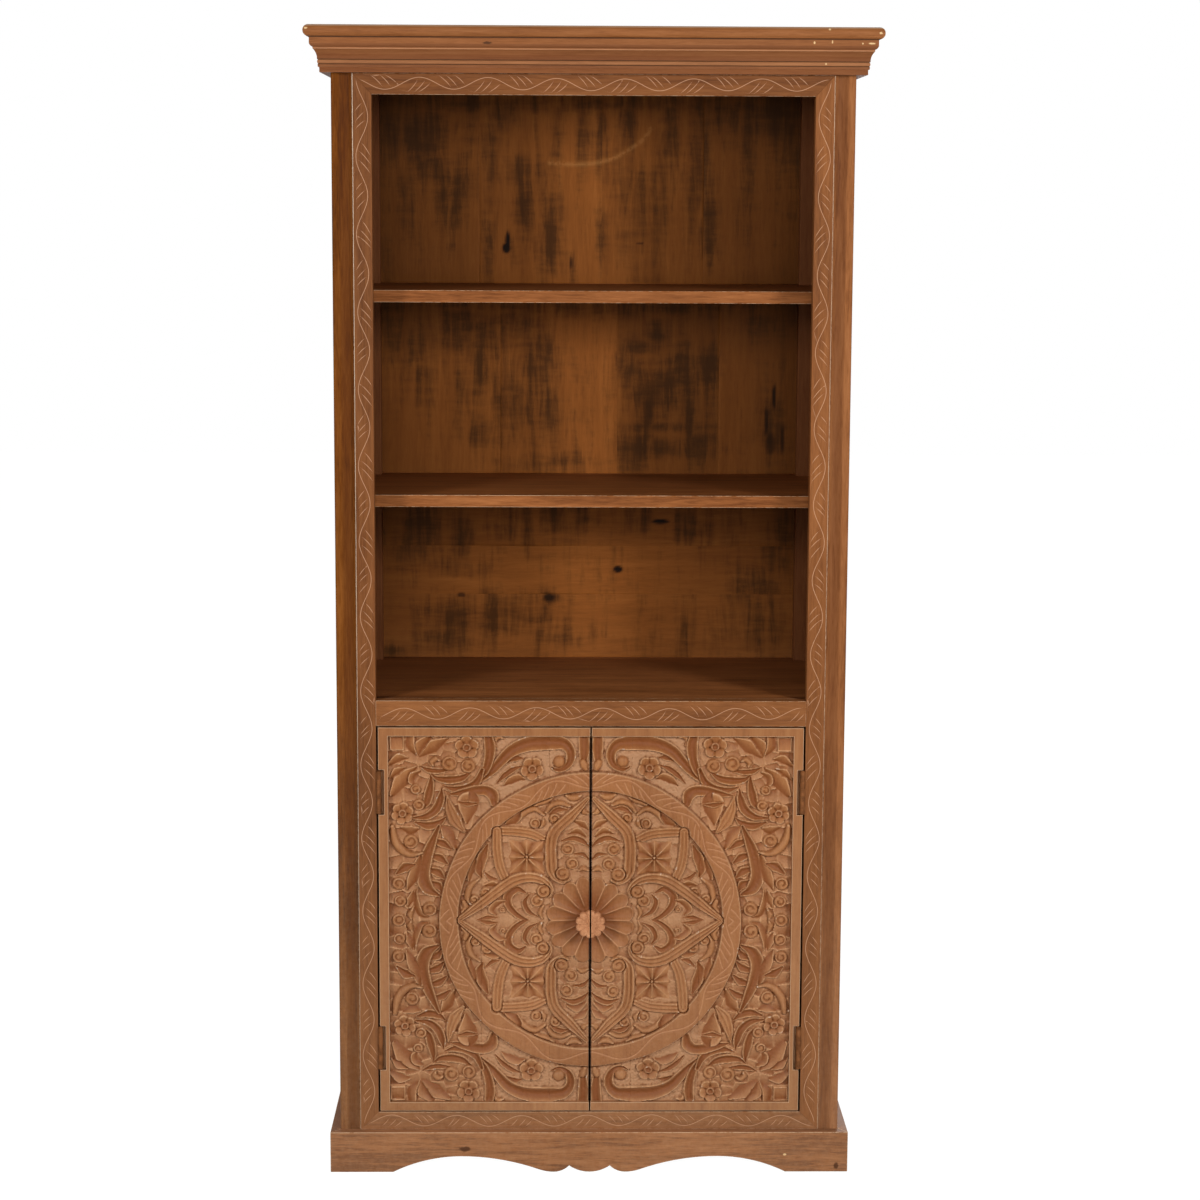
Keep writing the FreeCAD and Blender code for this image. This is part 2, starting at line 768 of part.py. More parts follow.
def carved_door():
    """The right-hand board with its sunk field and the main forms of the carving."""
    body = doc.addObject("PartDesign::Body", "door_carved")
    slab = draw(body, "XZ", -door_back, "slab")
    outline(slab, rectangle((door_inner, door_outer), (door_bottom, door_top)))
    raise_pad(body, slab, s.door_thickness)

    field = draw(body, "XZ", -front, "field")
    edges = (door_inner - s.cut_overrun, door_outer - s.field_side_border)
    outline(field, rectangle(edges, (door_bottom + s.field_end_border, door_top - s.field_end_border)))
    sink_pocket(body, field, s.field_depth)

    ring = draw(body, "XZ", -field_floor, "ring")
    outline(
        ring,
        [
            (door_inner, door_middle - s.ring_inner_radius, HALF_BULGE_SHARE),
            (door_inner, door_middle - s.ring_outer_radius),
            (door_inner, door_middle + s.ring_outer_radius, -HALF_BULGE_SHARE),
            (door_inner, door_middle + s.ring_inner_radius),
        ],
    )
    raise_pad(body, ring, s.ring_relief)

    balls = draw(body, "XZ", -field_floor, "balls")
    for name, turned in (("lying", False), ("standing", True)):
        ribs = draw(body, "XZ", -field_floor, f"{name}_ribs")
        for sense in (1, -1):
            corners, ball = rib_corners(turned, sense)
            outline(ribs, corners)
            disc(balls, *ball, s.rib_ball_radius)
        raise_pad(body, ribs, s.rib_relief)
    raise_pad(body, balls, s.rib_relief)

    squares = draw(body, "XZ", -field_floor, "squares")
    tiles = draw(body, "XZ", -field_floor, "tiles")
    near, far, start = s.square_reach - s.square_rib, s.square_reach, s.square_start
    arms = [(start, near), (near, near), (near, start), (far, start), (far, far), (start, far)]
    span = (s.tile_place - s.tile_half_width, s.tile_place + s.tile_half_width)
    tile = rectangle(span, span)
    for sense in (1, -1):
        outline(squares, [(door_inner + u, door_middle + v * sense) for u, v in arms])
        outline(tiles, [(door_inner + u, door_middle + v * sense) for u, v in tile])
    raise_pad(body, squares, s.square_relief)
    raise_pad(body, tiles, s.tile_relief)

    rosette = draw(body, "XZ", -field_floor, "rosette")
    petals = []
    for index in range(PETALS_ON_A_DOOR + 1):
        angle = math.pi * (index / PETALS_ON_A_DOOR - 0.5)
        u = door_inner + s.rosette_radius * math.cos(angle)
        v = door_middle + s.rosette_radius * math.sin(angle)
        petals.append((u, v, -PETAL_BULGE_SHARE if index else 0.0))
    outline(rosette, petals)
    raise_pad(body, rosette, s.rosette_relief)
    return body


def doors():
    over = s.cut_overrun
    seats = []
    for which, height in hinge_heights().items():
        reach_z = s.hinge_length / 2 + s.hinge_notch_margin
        span_z = (height - reach_z, height + reach_z)
        leaf_x = (hinge_x - s.hinge_axis_inset, door_outer + over)
        leaf_y = (front - over, hinge_y + s.hinge_leaf_width + s.hinge_notch_margin)
        barrel_x = (door_outer - s.barrel_notch_width, door_outer + over)
        barrel_y = (front - over, front + s.barrel_notch_depth)
        leaf = box(f"door_leaf_notch_{which}", leaf_x, leaf_y, span_z)
        barrel = box(f"door_barrel_notch_{which}", barrel_x, barrel_y, span_z)
        seats.append(join(f"door_hinge_notch_{which}", [leaf, barrel]))
    seats += screw_holes("door", hinge_x - s.hinge_axis_inset, AGAINST_X)
    spigot = s.knob_spigot_radius + s.spigot_clearance
    depth = s.knob_spigot_length + s.spigot_clearance
    place = (door_inner + s.knob_spigot_place, rosette_front, door_middle)
    seats.append(round_bar("door_spigot_hole", spigot, depth, place, ALONG_Y))
    place = (s.magnet_place, door_back - s.strike_thickness, door_top - s.magnet_drop)
    recess = s.strike_radius + s.magnet_clearance
    seats.append(round_bar("door_strike_recess", recess, s.strike_thickness + over, place, ALONG_Y))
    right = node("door_right", cut("door_right", carved_door(), seats))
    node("door_left", mirror("door_left", right))

    plate = round_bar("strike_plate_right", s.strike_radius, s.strike_thickness, place, ALONG_Y)
    node("strike_plate_right", plate)
    node("strike_plate_left", mirror("strike_plate_left", plate))


# A turned and fluted knob, sawn in two, with half on each door


def knobs():
    body = doc.addObject("PartDesign::Body", "knob_turned")
    sketch = draw(body, "XY", door_middle, "section")
    bind(sketch, "AttachmentOffset.Base.x", door_inner)
    foot = rosette_front
    head = foot - s.knob_head_height
    tip = foot - s.knob_length
    outline(
        sketch,
        [
            (0, foot),
            (0, tip),
            (s.knob_radius, head, -KNOB_DOME_BULGE_SHARE),
            (s.knob_neck_radius, foot - s.knob_foot_height, KNOB_NECK_BULGE_SHARE),
            (s.knob_foot_radius, foot),
        ],
    )
    turning = body.newObject("PartDesign::Revolution", "knob_turning")
    turning.Profile = sketch
    turning.ReferenceAxis = (sketch, ["V_Axis"])
    turning.Angle = 360

    over = s.cut_overrun
    flutes = []
    for index in range(KNOB_FLUTES_ON_A_HALF):
        angle = math.pi * ((index + 0.5) / KNOB_FLUTES_ON_A_HALF - 0.5)
        ring = s.knob_radius + s.knob_flute_radius / 2
        place = (door_inner + ring * math.cos(angle), tip - over, door_middle + ring * math.sin(angle))
        length = s.knob_length - s.knob_foot_height + over
        flutes.append(round_bar(f"knob_flute_{index}", s.knob_flute_radius, length, place, ALONG_Y))
    fluted = cut("knob_fluted", body, flutes)
    reach = s.knob_radius + over
    half_z = (door_middle - reach, door_middle + reach)
    keep = box("knob_half", (door_inner, door_inner + reach), (tip - over, foot + over), half_z)
    half = common("knob_sawn", [fluted, keep])
    place = (door_inner + s.knob_spigot_place, foot - over, door_middle)
    spigot = round_bar("knob_spigot", s.knob_spigot_radius, s.knob_spigot_length + over, place, ALONG_Y)
    right = node("knob_right", join("knob_right", [half, spigot]))
    node("knob_left", mirror("knob_left", right))


# Hinges: two leaves with five knuckles on a headed pin, let into the edge of the door


def hinge_leaf(name, which, low, leaf_x, own, turn, head_x):
    """A leaf with its own knuckles, notched for those of the other leaf."""
    step = s.hinge_length / KNUCKLES
    leaf_y = (hinge_y, hinge_y + s.hinge_leaf_width)
    plate = box(f"{name}_plate", leaf_x, leaf_y, (low, low + s.hinge_length))
    barrel, notches = [], []
    reach = s.knuckle_radius + s.knuckle_clearance
    for index in range(KNUCKLES):
        foot = low + step * index
        if index in own:
            start = (hinge_x, hinge_y, foot + s.knuckle_gap / 2)
            length = step - s.knuckle_gap
            barrel.append(round_bar(f"{name}_knuckle_{index}", s.knuckle_radius, length, start, UPRIGHT))
        else:
            across = (hinge_x - reach, hinge_x + reach)
            ahead = (hinge_y - reach, hinge_y + reach)
            notches.append(box(f"{name}_gap_{index}", across, ahead, (foot, foot + step)))
    notched = cut(f"{name}_notched", plate, notches)
    blank = join(f"{name}_blank", [notched] + barrel)
    bore = s.hinge_pin_radius + s.hinge_pin_clearance
    start = (hinge_x, hinge_y, low - s.cut_overrun)
    holes = [round_bar(f"{name}_bore", bore, s.hinge_length + s.cut_overrun * 2, start, UPRIGHT)]
    wide = s.screw_head_radius + s.screw_clearance
    slim = s.screw_radius + s.screw_clearance
    for tag, z in screw_places():
        if tag.startswith(which):
            start = (head_x, hinge_y + s.screw_setback, z)
            holes.append(taper(f"{name}_sink_{tag}", wide, slim, s.hinge_leaf_thickness, start, turn))
    return cut(name, blank, holes)


def hinges():
    inset, thick = s.hinge_axis_inset, s.hinge_leaf_thickness
    frame_x = (hinge_x + inset - thick, hinge_x + inset)
    door_x = (hinge_x - inset, hinge_x - inset + thick)
    odd = range(1, KNUCKLES, 2)
    even = range(0, KNUCKLES, 2)
    for which, height in hinge_heights().items():
        low = height - s.hinge_length / 2
        name = f"hinge_{which}_right"
        frame_leaf = hinge_leaf(f"{name}_frame_leaf", which, low, frame_x, even, ALONG_X, frame_x[0])
        door_leaf = hinge_leaf(f"{name}_door_leaf", which, low, door_x, odd, AGAINST_X, door_x[1])
        foot = (hinge_x, hinge_y, low)
        crown = (hinge_x, hinge_y, low + s.hinge_length)
        shank = round_bar(f"{name}_shank", s.hinge_pin_radius, s.hinge_length, foot, UPRIGHT)
        head = round_bar(f"{name}_head", s.pin_head_radius, s.pin_head_height, crown, UPRIGHT)
        pin = join(f"{name}_pin", [shank, head])
        for piece, part in ((frame_leaf, "frame_leaf"), (door_leaf, "door_leaf"), (pin, "pin")):
            label = f"hinge_{which}_left_{part}"
            node(f"{name}_{part}", piece)
            node(label, mirror(label, piece))

    frame_screws = screws("frame", frame_x[0], frame_x[1], ALONG_X)
    pair = [frame_screws, mirror("screws_frame_left", frame_screws)]
    node("hinge_screws_frame", gather("hinge_screws_frame", pair))
    door_screws = node("hinge_screws_door_right", screws("door", door_x[1], door_x[0], AGAINST_X))
    node("hinge_screws_door_left", mirror("hinge_screws_door_left", door_screws))


def screws(wood, head_x, shank_x, turn):
    """The countersunk screws of the right-hand leaves."""
    made = []
    for tag, z in screw_places():
        y = hinge_y + s.screw_setback
        name = f"screw_{wood}_{tag}"
        radii = (s.screw_head_radius, s.screw_radius)
        head = taper(f"{name}_head", *radii, s.hinge_leaf_thickness, (head_x, y, z), turn)
        shank = round_bar(f"{name}_shank", s.screw_radius, s.screw_length, (shank_x, y, z), turn)
        made.append(join(name, [head, shank]))
    return gather(f"screws_{wood}_right", made)


# Door stop under the deck, with a magnet for each door


def door_stop():
    low = door_top - s.stop_drop
    stop_front = door_back + s.stop_clearance
    across = (-s.stop_half_width, s.stop_half_width)
    batten = box("stop_batten", across, (stop_front, stop_front + s.stop_thickness), (low, deck_bottom))
    z = door_top - s.magnet_drop
    bores, magnets = [], []
    for name, x in (("right", s.magnet_place), ("left", -s.magnet_place)):
        start = (x, stop_front, z)
        bore = s.magnet_radius + s.magnet_clearance
        bores.append(round_bar(f"stop_bore_{name}", bore, s.magnet_length, start, ALONG_Y))
        magnets.append(round_bar(f"magnet_{name}", s.magnet_radius, s.magnet_length, start, ALONG_Y))
    node("door_stop", cut("door_stop", batten, bores))
    node("catch_magnets", gather("catch_magnets", magnets))


corner_posts()
side_frames()
vine_frame()
boards()
back_and_rails()
cornice()
plinth()
doors()
knobs()
hinges()
door_stop()
doc.recompute()

for item in doc.Objects:
    if {"Invalid", "Error"} & set(item.State):
        raise RuntimeError(f"{item.Name} did not build: {item.State}")
for piece in nodes:
    if piece.Shape.isNull() or not piece.Shape.isValid():
        raise RuntimeError(f"{piece.Label} has no valid shape")

os.makedirs("parts", exist_ok=True)
for piece in nodes:
    piece.Shape.exportStep(f"parts/{piece.Label}.step")
print(f"{len(nodes)} pieces written")
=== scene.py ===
import math

import bmesh
import bpy
import numpy as np
from mathutils import Matrix, Vector
from mathutils.geometry import delaunay_2d_cdt


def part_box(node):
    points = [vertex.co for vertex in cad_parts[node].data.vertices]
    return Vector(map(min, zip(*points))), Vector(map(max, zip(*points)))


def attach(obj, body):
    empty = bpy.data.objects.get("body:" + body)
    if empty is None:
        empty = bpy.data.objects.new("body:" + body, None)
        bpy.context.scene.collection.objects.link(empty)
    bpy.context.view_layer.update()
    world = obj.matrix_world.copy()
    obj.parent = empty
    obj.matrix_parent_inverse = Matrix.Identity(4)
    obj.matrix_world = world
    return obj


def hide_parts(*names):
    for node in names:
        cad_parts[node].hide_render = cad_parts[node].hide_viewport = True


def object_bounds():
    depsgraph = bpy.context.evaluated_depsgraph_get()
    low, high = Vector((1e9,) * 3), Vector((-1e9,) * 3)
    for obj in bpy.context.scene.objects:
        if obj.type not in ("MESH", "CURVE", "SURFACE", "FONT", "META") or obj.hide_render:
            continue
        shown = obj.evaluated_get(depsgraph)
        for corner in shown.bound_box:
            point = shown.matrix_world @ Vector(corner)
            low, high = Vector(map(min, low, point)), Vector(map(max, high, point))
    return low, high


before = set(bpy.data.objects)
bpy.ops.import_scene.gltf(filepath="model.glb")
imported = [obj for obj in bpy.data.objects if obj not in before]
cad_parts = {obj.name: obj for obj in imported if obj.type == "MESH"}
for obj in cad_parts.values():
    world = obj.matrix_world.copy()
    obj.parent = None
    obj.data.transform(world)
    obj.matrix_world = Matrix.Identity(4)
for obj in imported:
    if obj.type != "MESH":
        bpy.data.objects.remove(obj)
cad_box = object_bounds()

# A carved bookcase: three open bays over a cupboard with two doors. The frame is in metres;
# places on the wood are written in millimetres and turned to metres when a mesh is made.

MM = 0.001

# Camera, from the straight edges of the photograph

CAMERA_PLACE = Vector((-0.05795, -4.39202, 1.55031))
CAMERA_PITCH = math.radians(8.473)
CAMERA_YAW = math.radians(0.9665)
CAMERA_ROLL = math.radians(0.2764)
FOCAL_LENGTH_IN_PIXELS = 2725.59
PICTURE_PIXELS = 1200
SENSOR_WIDTH = 36.0

# Studio

AMBIENT_STRENGTH = 0.1
FLOOR_SIZE = 24.0
FLOOR_COLOUR = (0.62, 0.62, 0.61, 1.0)
FLOOR_GLOW_SHARE = 0.8
FLOOR_GLOW_STRENGTH = 1.24
# Each lamp: place, what it points at, width and height, power
LAMPS = {
    "lamp_right": ((2.2, -2.75, 1.95), (0.0, -0.2, 0.7), (0.6, 0.6), 68.0),
    "lamp_left": ((-2.2, -2.75, 1.95), (0.0, -0.2, 0.7), (0.6, 0.6), 55.0),
    "lamp_front": ((0.1, -4.3, 1.5), (0.0, -0.2, 0.8), (1.6, 1.0), 42.0),
    "lamp_back": ((0.9, 4.0, 2.1), (0.0, 0.2, 0.9), (2.0, 1.4), 80.0),
}

# Places on the wood, in millimetres, as the solids have them

FRAME_FACE = -192.0
BOARD_SEAT = -176.0
DOOR_BACK = -166.0
DOOR_INNER = 1.2
DOOR_OUTER = 334.5
DOOR_BOTTOM = 97.0
DOOR_TOP = 721.5
DOOR_MIDDLE = 409.25
FIELD_REACH = 319.0
FIELD_HALF_HEIGHT = 298.25
HINGE_Y = -193.0
HINGE_DROP = 208.5
HINGE_NOTCH_HALF = 36.0
LEAF_NOTCH_X = 329.5
LEAF_NOTCH_BACK = -169.0
BARREL_NOTCH_X = 325.5
BARREL_NOTCH_BACK = -184.0
STRIKE_X = 40.0
STRIKE_Z = 709.5
STRIKE_RADIUS = 9.1
STRIKE_DEPTH = 1.2
ROSETTE_FRONT = -189.5
HANDS = {1: "right", -1: "left"}
DOOR_BODIES = {1: "right_door", -1: "left_door"}


def srgb(red, green, blue):
    """A colour read on the 0 to 255 scale, as linear light."""
    shares = [value / 255.0 for value in (red, green, blue)]
    linear = [s / 12.92 if s <= 0.04045 else ((s + 0.055) / 1.055) ** 2.4 for s in shares]
    return (*linear, 1.0)


# Node trees


def maths(operation, turned=False):
    """An operator between values, which adds one Math node."""
    return lambda value, other: value.sum(operation, other, turned)


class Value:
    """An output of a node, which sums and products turn into more nodes."""

    def __init__(self, graph, socket):
        self.graph = graph
        self.socket = socket

    def other(self, name):
        return Value(self.graph, self.socket.node.outputs[name])

    def sum(self, operation, other, turned=False):
        pair = (other, self) if turned else (self, other)
        return self.graph.node("ShaderNodeMath", {"operation": operation}, {0: pair[0], 1: pair[1]})

    __add__ = maths("ADD")
    __radd__ = maths("ADD", True)
    __sub__ = maths("SUBTRACT")
    __rsub__ = maths("SUBTRACT", True)
    __mul__ = maths("MULTIPLY")
    __rmul__ = maths("MULTIPLY", True)
    __pow__ = maths("POWER")
    greater = maths("MAXIMUM")


class Graph:
    """A node tree that grows from expressions."""

    def __init__(self, tree):
        self.tree = tree

    def node(self, kind, settings=None, inputs=None, output=0):
        made = self.tree.nodes.new(kind)
        for name, setting in (settings or {}).items():
            if name == "stops":
                self.set_stops(made.color_ramp, setting)
            else:
                setattr(made, name, setting)
        for key, value in (inputs or {}).items():
            if isinstance(value, Value):
                self.tree.links.new(value.socket, made.inputs[key])
            else:
                made.inputs[key].default_value = value
        return Value(self, made.outputs[output]) if len(made.outputs) else made

    def set_stops(self, ramp, stops):
        while len(ramp.elements) < len(stops):
            ramp.elements.new(0.5)
        for element, (place, colour) in zip(ramp.elements, stops):
            element.position = place
            element.color = colour

    def attribute(self, name):
        return self.node("ShaderNodeAttribute", {"attribute_name": name}, output="Fac")

    def function(self, operation, value):
        return self.node("ShaderNodeMath", {"operation": operation}, {0: value})

    def combine(self, x=0.0, y=0.0, z=0.0):
        return self.node("ShaderNodeCombineXYZ", None, {0: x, 1: y, 2: z})

    def vector(self, operation, first, second):
        return self.node("ShaderNodeVectorMath", {"operation": operation}, {0: first, 1: second})

    def noise(self, place, scale, detail, roughness=0.5, distortion=0.0):
        inputs = {"Vector": place, "Scale": scale, "Detail": detail}
        inputs.update({"Roughness": roughness, "Distortion": distortion})
        return self.node("ShaderNodeTexNoise", None, inputs, "Fac")

    def ramp(self, value, *stops):
        return self.node("ShaderNodeValToRGB", {"stops": stops}, {"Fac": value}, "Color")

    def band(self, value, low, high, rise="SMOOTHSTEP"):
        """0 below the low value and 1 above the high one."""
        inputs = {"Value": value, "From Min": low, "From Max": high}
        return self.node("ShaderNodeMapRange", {"interpolation_type": rise}, inputs)

    def mix(self, share, first, second):
        settings = {"data_type": "RGBA", "blend_type": "MIX"}
        return self.node("ShaderNodeMix", settings, {0: share, 6: first, 7: second}, 2)

    def end_material(self, inputs):
        shader = self.node("ShaderNodeBsdfPrincipled", None, inputs)
        self.node("ShaderNodeOutputMaterial", None, {"Surface": shader})

    def end_shape(self, shape, finish):
        whole = self.node("GeometryNodeRealizeInstances", None, {0: shape})
        inputs = {"Geometry": whole, "Material": finish}
        self.node("NodeGroupOutput", None, {0: self.node("GeometryNodeSetMaterial", None, inputs)})


def new_material(name):
    material = bpy.data.materials.new(name)
    material.use_nodes = True
    material.node_tree.nodes.clear()
    return material, Graph(material.node_tree)


# Materials

GRAIN_STRETCHES = {"x": (1.0, 13.0, 13.0), "y": (13.0, 1.0, 13.0), "z": (13.0, 13.0, 1.0)}
PALE_WEAR = srgb(222, 190, 156)
PALE_LINE = srgb(206, 152, 112)
PALE_CHIP = srgb(226, 192, 140)
DARK_CREASE = srgb(62, 36, 20)
SOFT_KNOT = srgb(70, 40, 22)
FLOOR_DUST = srgb(196, 158, 124)

# Patterns in the materials: scale, detail, roughness, distortion

CLOUDS = (4.0, 3.0)
BROAD_FIGURE = (2.6, 3.0, 0.55, 0.5)
STREAKS = (14.0, 5.0, 0.6)
STREAK_BEND = 0.8
PORES = (60.0, 3.0, 0.6)
SPECKS = (140.0, 3.0, 0.7)
RUNS = (26.0, 5.0, 0.6, 0.9)
DRIPS = (90.0, 5.0, 0.66, 0.6)
BRUSH_STROKES = (80.0, 5.0, 0.66)
TARNISH = (90.0, 4.0, 0.6)
PITS = (900.0, 2.0, 0.6)

# How far each pattern shows, as shares, and the values between which its edge fades

BOARD_SHIFTS = (3.1, 5.3, 7.7)
STREAK_SHARE = 0.4
BROAD_SHARE = 0.36
PORE_SHARE = 0.24
TONE_SHARE = 0.3
CLOUD_SHARE = 0.45
DUST_TOP = 0.95
DUST_SHARE = 0.55
DUST_SPECK_SHARE = 0.9
DUST_CLOUD_SHARE = 0.6
SPECKED_CLOUD_SHARE = 0.6
SPECKED_EDGE = (0.3, 0.6)
RUN_STRETCH = (1.0, 1.0, 0.12)
BRUSH_STRETCH = (0.22, 1.0, 1.0)
RUN_SHARE = 1.5
DRIP_SHARE = 1.2
BRUSH_SHARE = 0.8
STAIN_AND_SHADOW_SHARE = 0.75
STAIN_AND_SHADOW_EDGE = (-0.05, 0.8)
BAND_EDGE = 0.4
BAND_SHARE = 0.7
BAND_STREAK_SHARE = 0.6
MARK_SPECK_SHARE = 0.9
MARK_PORE_SHARE = 0.6
MARK_EDGE = (0.55, 1.1)
MARK_SHARE = 0.85
ROUGH_STREAK_SHARE = 0.6
ROUGH_CLOUD_SHARE = 0.4
GRAIN_BUMP = 0.0006
BUMP_STREAK_SHARE = 0.5
TARNISH_EDGE = (0.35, 0.65)
METAL_WEAR_EDGE = (0.3, 0.6)
METAL_WEAR_SHARE = 0.5
METAL_WEAR_GAIN = 1.8
PIT_SHARE = 0.08
PIT_BUMP = 0.0002
PIT_DEPTH = 0.2


def swing(pattern, share):
    """A pattern that lies evenly about nought."""
    return (pattern - 0.5) * share


def dripping(g, place, mask):
    """A mask broken into runs downward and strokes brushed across, for stains and for the bands of
    painted shadow.
    """
    hanging = g.vector("MULTIPLY", place, RUN_STRETCH)
    run = g.noise(hanging, *RUNS)
    drip = g.noise(hanging, *DRIPS)
    stroke = g.noise(g.vector("MULTIPLY", place, BRUSH_STRETCH), *BRUSH_STROKES)
    smear = swing(run, RUN_SHARE) + swing(drip, DRIP_SHARE) + swing(stroke, BRUSH_SHARE)
    return g.band(mask * STAIN_AND_SHADOW_SHARE + smear, *STAIN_AND_SHADOW_EDGE)


def wood(
    name,
    tones,
    grain,
    layers=(),
    figure=1.0,
    roughness=(0.46, 0.64),
    grain_depth=0.25,
    dust=0.3,
    shine=0.12,
    spread=0.14,
    marks=(),
    light_and_shade_bands=(),
):
    """Oiled hardwood with its grain along one direction. The tones run from the dark streaks to
    the light ones, and a small spread makes the streaks strong. Each layer is an attribute, a
    colour, its strength and how its edge is broken; each mark is a place across and upward, its
    half sizes and its colour; each band of painted shade or painted highlight lies between two
    heights. Dust lies on what stands near the floor."""
    material, g = new_material(name)
    place = g.node("ShaderNodeTexCoord", output="Object")
    board = g.attribute("board")
    own = g.vector("ADD", place, g.combine(*[board * shift for shift in BOARD_SHIFTS]))
    lengthwise = g.vector("MULTIPLY", own, GRAIN_STRETCHES[grain])
    cloud = g.noise(own, *CLOUDS)
    broad = g.noise(lengthwise, *BROAD_FIGURE)
    streak = g.noise(lengthwise, *STREAKS, STREAK_BEND * figure)
    pores = g.noise(lengthwise, *PORES)
    speck = g.noise(own, *SPECKS)
    height = g.node("ShaderNodeSeparateXYZ", None, {0: place}, "Z")
    mixed = streak * STREAK_SHARE + broad * BROAD_SHARE + pores * PORE_SHARE
    dark, middle, light = tones
    colour = g.ramp(mixed, (0.5 - spread, dark), (0.5, middle), (0.5 + spread, light))
    tone = 1.0 + g.attribute("tone") * TONE_SHARE + swing(cloud, CLOUD_SHARE)
    colour = g.node("ShaderNodeHueSaturation", None, {"Value": tone, "Color": colour})
    settled = DUST_SHARE + swing(speck, DUST_SPECK_SHARE) + swing(cloud, DUST_CLOUD_SHARE)
    settled = (1.0 - g.band(height, 0.0, DUST_TOP)) * settled
    colour = g.mix(settled * dust, colour, FLOOR_DUST)
    for attribute, paint, strength, edge in layers:
        mask = g.attribute(attribute)
        if edge == "specks":
            mask = mask * g.band(speck + swing(cloud, SPECKED_CLOUD_SHARE), *SPECKED_EDGE)
        if edge == "drips":
            mask = dripping(g, own, mask)
        colour = g.mix(mask * strength, colour, paint)
    for low, high, paint, strength in light_and_shade_bands:
        above = g.band(height, (low - BAND_EDGE) * MM, (low + BAND_EDGE) * MM)
        below = 1.0 - g.band(height, (high - BAND_EDGE) * MM, (high + BAND_EDGE) * MM)
        broken = BAND_SHARE + BAND_STREAK_SHARE * streak
        colour = g.mix(above * below * strength * broken, colour, paint)
    for x, z, half_x, half_z, paint in marks:
        off = g.vector("SUBTRACT", place, (x * MM, 0.0, z * MM))
        scaled = g.vector("MULTIPLY", off, (1.0 / (half_x * MM), 0.0, 1.0 / (half_z * MM)))
        reach = g.node("ShaderNodeVectorMath", {"operation": "LENGTH"}, {0: scaled}, "Value")
        ragged = reach + swing(speck, MARK_SPECK_SHARE) + swing(pores, MARK_PORE_SHARE)
        mask = 1.0 - g.band(ragged, *MARK_EDGE)
        colour = g.mix(mask * MARK_SHARE, colour, paint)
    low, high = roughness
    rough = low + (high - low) * (streak * ROUGH_STREAK_SHARE + cloud * ROUGH_CLOUD_SHARE)
    relief = streak * BUMP_STREAK_SHARE + pores
    bump = {"Strength": grain_depth, "Distance": GRAIN_BUMP, "Height": relief}
    inputs = {"Base Color": colour, "Roughness": rough, "Specular IOR Level": shine}
    g.end_material({**inputs, "Normal": g.node("ShaderNodeBump", None, bump)})
    return material


def metal(name, dark, light, roughness, metallic=1.0, tarnish=0.5, shine=0.5):
    """Metal with a cloudy tarnish and a brushed, slightly pitted face."""
    material, g = new_material(name)
    place = g.node("ShaderNodeTexCoord", output="Object")
    cloud = g.noise(place, *TARNISH)
    pits = g.noise(place, *PITS)
    colour = g.mix(g.band(cloud, *TARNISH_EDGE), dark, light)
    rough = roughness + swing(cloud, tarnish / 2) + pits * PIT_SHARE
    wear = g.attribute("wear") * g.band(cloud, *METAL_WEAR_EDGE)
    bright = tuple(min(1.0, channel * METAL_WEAR_GAIN) for channel in light[:3])
    colour = g.mix(wear * METAL_WEAR_SHARE, colour, (*bright, 1.0))
    bump = {"Strength": PIT_DEPTH, "Distance": PIT_BUMP, "Height": pits}
    inputs = {"Base Color": colour, "Roughness": rough, "Metallic": metallic}
    inputs.update({"Specular IOR Level": shine, "Normal": g.node("ShaderNodeBump", None, bump)})
    g.end_material(inputs)
    return material


def shades(*colours):
    return tuple(srgb(*colour) for colour in colours)


